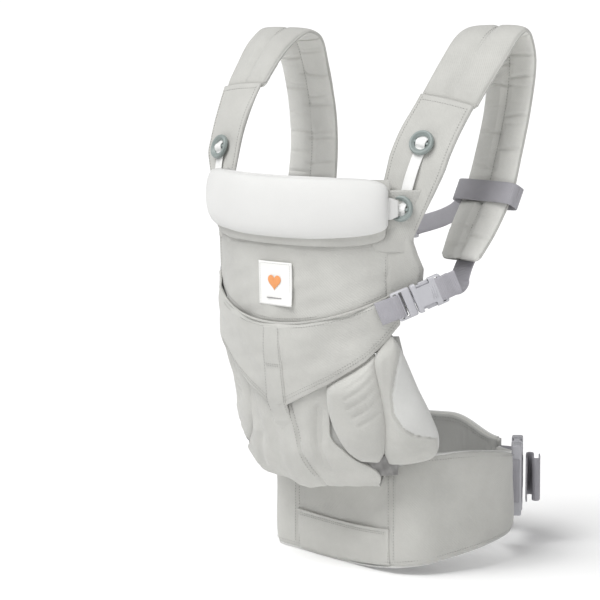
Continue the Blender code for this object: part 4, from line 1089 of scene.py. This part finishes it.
def make_side_closures():
    base, end = SIDE_SIZE[3], SIDE_SIZE[5]
    for side, _ in SIDES:
        place = placement(SIDE_AT[side], SIDE_ALONG[side], SIDE_FACE[side])
        socket = f"side_{side}_socket"
        make_buckle("side_buckle_" + side, place, SIDE_SIZE, ROOT, socket)
        across = np.array(place.to_3x3() @ Vector((0.0, 1.0, 0.0)))
        run = [spot(place, x - base, z) for x, z in ((10.2, -2.4), (7.3, 3.4), (2.0, 3.6), (-1.6, 0.0),
                                                     (-9.0, -3.6), (-17.0, -7.6))]
        ribbon(f"side_anchor_webbing_{side}", smooth_path(run, 40), across, SIDE_WEBBING, "webbing",
               replaces=(f"side_anchor_{side}",))
        point, _, strap_across, out, along = strap_frames(STRAPS[side], STRAP_ROWS)
        turned_across = strap_across[-1] * math.copysign(1.0, float(across @ strap_across[-1]))
        tip, lift, down = point[-1], out[-1] * 3.2 * MM, along[-1]
        run = [spot(place, end + x, z) for x, z in ((-8.6, -1.5), (-5.1, 2.2), (-1.0, 2.8), (6.0, 0.2))]
        run += [tip + lift * 1.6 + down * SIDE_DROP[side], tip + lift, tip + lift - down * 0.012]
        mix = ease(np.linspace(-0.3, 1.2, 70))[:, None]
        ribbon(f"side_strap_webbing_{side}", smooth_path(run, 70), across * (1.0 - mix) + turned_across * mix,
               SIDE_WEBBING, "webbing", body=socket, replaces=(f"side_webbing_{side}",))
        tail = [spot(place, end + x, z) for x, z in ((-9.5, 2.9), (-5.0, 4.9), (1.0, 5.6), (9.0, 4.0), (15.5, 4.6))]
        ribbon(f"side_tail_webbing_{side}", smooth_path(tail, 40), across, SIDE_WEBBING, "webbing", body=socket)


def make_waist_closure():
    place = placement(WAIST_AT, WAIST_ALONG, WAIST_FACE)
    base, end = WAIST_SIZE[3], WAIST_SIZE[5]
    make_buckle("waist_buckle", place, WAIST_SIZE, ROOT, "waist_socket")
    face = unit(WAIST_FACE)
    near_end = np.array((*BELT_PLAN[-1], WAIST_AT[2]))
    far_end = np.array((*BELT_PLAN[0], WAIST_AT[2]))
    run = [near_end + face * 0.003 + (0.018, -0.012, 0.0), near_end + face * 0.004]
    run += [spot(place, x - base, z) for x, z in ((-2.0, 0.0), (2.0, 3.8), (7.0, 5.4), (10.2, -1.0))]
    ribbon("waist_near_webbing", smooth_path(run, 60), UPRIGHT, WAIST_WEBBING, "webbing",
           replaces=("waist_webbing_near",))
    run = [spot(place, end + x, z) for x, z in ((-8.6, -2.0), (-5.1, 4.6), (1.5, 0.0))]
    run += [far_end + (0.002, 0.0125, 0.0), far_end + (-0.022, 0.0045, 0.0)]
    ribbon("waist_far_webbing", smooth_path(run, 60), UPRIGHT, WAIST_WEBBING, "webbing", body="waist_socket",
           replaces=("waist_webbing_far",))
    tail = [spot(place, x, z) for x, z in TAIL_PLAN]
    ribbon("waist_tail_webbing", smooth_path(tail, 120), UPRIGHT, WAIST_WEBBING, "webbing",
           replaces=("waist_webbing_tail",))


def make_chest_strap():
    wide, deep, tall = CHEST_SLIDER
    turn = np.linspace(0.0, 2.0 * math.pi, 90, endpoint=False)
    ends = {}
    for side, _ in SIDES:
        point, _, across, out, along = strap_frames(STRAPS[side], STRAP_ROWS)
        k = 28 + int(np.argmin(np.abs(point[28:, 2] - CHEST_HEIGHT[side])))
        middle = point[k] - out[k] * 6.9 * MM
        ring = [middle + across[k] * (np.sign(x) * abs(x) ** 0.32 * (wide / 2.0 - 0.7 * MM))
                + out[k] * (np.sign(y) * abs(y) ** 0.5 * (deep / 2.0 - 0.2 * MM))
                for x, y in zip(np.cos(turn), np.sin(turn))]
        ring.append(ring[0])
        ribbon(f"chest_slider_loop_{side}", ring, along[k], tall * 0.96, "webbing",
               replaces=(f"chest_slider_{side}",), body="chest_strap")
        ends[side] = (middle + out[k] * (deep / 2.0 + 6.5 * MM) - across[k] * (wide / 2.0 - 0.004)
                      - along[k] * 0.008)
    low = (ends["left"] + ends["right"]) / 2.0 - (0.0, 0.0, CHEST_SAG)
    way = unit(ends["right"] - ends["left"])
    place = placement(low, way, -unit(np.cross(way, UPRIGHT)))
    make_buckle("chest_buckle", place, CHEST_SIZE, "chest_strap", "chest_socket")
    for side, x, body in (("left", -CHEST_SIZE[3], "chest_strap"), ("right", CHEST_SIZE[5], "chest_socket")):
        step = math.copysign(1.0, x)
        start, end = ends[side], spot(place, x + step * 0.5, 0.0)
        run = [start, start * 0.62 + end * 0.38 - (0.0, 0.0, CHEST_DIP), end,
               spot(place, x - step * 3.4, 3.2), spot(place, x - step * 7.0, 1.0)]
        ribbon(f"chest_webbing_{side}_cloth", smooth_path(run, 60), UPRIGHT, 0.0195, "webbing", body=body,
               replaces=(f"chest_webbing_{side}",))


# ---- room, lights and camera ----
VIEW_AZIMUTH = 42.0
VIEW_ELEVATION = 7.5
VIEW_DISTANCE = 3.0
VIEW_TARGET = (-0.074, -0.101, 0.214)
VIEW_LENS = 163.6


def make_stage():
    work = bmesh.new()
    bmesh.ops.create_grid(work, x_segments=2, y_segments=2, size=60.0)
    mesh = bpy.data.meshes.new("floor")
    work.to_mesh(mesh)
    work.free()
    floor = linked("floor", mesh)
    floor.location = (0.0, 0.0, -BELT_HALF_HEIGHT - 1.5 * MM)
    look, shader = new_material("pale_floor", (0.95, 0.95, 0.95), 0.95)
    shader.inputs["Emission Color"].default_value = (1.0, 1.0, 1.0, 1.0)
    shader.inputs["Emission Strength"].default_value = 0.14
    mesh.materials.append(look)
    world = bpy.data.worlds.new("studio")
    world.use_nodes = True
    world.node_tree.nodes["Background"].inputs["Color"].default_value = (1.0, 1.0, 1.0, 1.0)
    world.node_tree.nodes["Background"].inputs["Strength"].default_value = 0.25
    bpy.context.scene.world = world
    bpy.context.scene.view_settings.view_transform = "Standard"


def add_sun(name, toward, strength, spread):
    data = bpy.data.lights.new(name, "SUN")
    data.energy = strength
    data.angle = math.radians(spread)
    made = linked(name, data)
    made.rotation_mode = "QUATERNION"
    made.rotation_quaternion = Vector(toward).to_track_quat("Z", "Y")
    made.location = Vector(toward)


def make_lights():
    add_sun("key", (-0.12, -0.68, 1.05), 2.75, 42.0)
    add_sun("side", (1.00, -0.45, 0.45), 0.50, 60.0)


def make_camera():
    a, e = math.radians(VIEW_AZIMUTH), math.radians(VIEW_ELEVATION)
    back = Vector((math.sin(a) * math.cos(e), -math.cos(a) * math.cos(e), math.sin(e)))
    data = bpy.data.cameras.new("camera")
    data.lens = VIEW_LENS
    data.sensor_width = 36.0
    camera = linked("camera", data)
    camera.location = Vector(VIEW_TARGET) + back * VIEW_DISTANCE
    camera.rotation_mode = "QUATERNION"
    camera.rotation_quaternion = (-back).to_track_quat("-Z", "Y")
    bpy.context.scene.camera = camera


make_camera()
make_stage()
make_lights()
LOOKS = make_materials()
make_belt()
make_pocket()
make_upper_panel()
make_cross_flap()
make_centre_strip()
make_lining()
make_wings()
make_label()
make_seat()
make_leg_rolls()
for strap_side in ("left", "right"):
    make_strap_base(strap_side)
    make_strap_pad(strap_side)
make_head_support()
make_buttons()
make_side_closures()
make_waist_closure()
make_chest_strap()
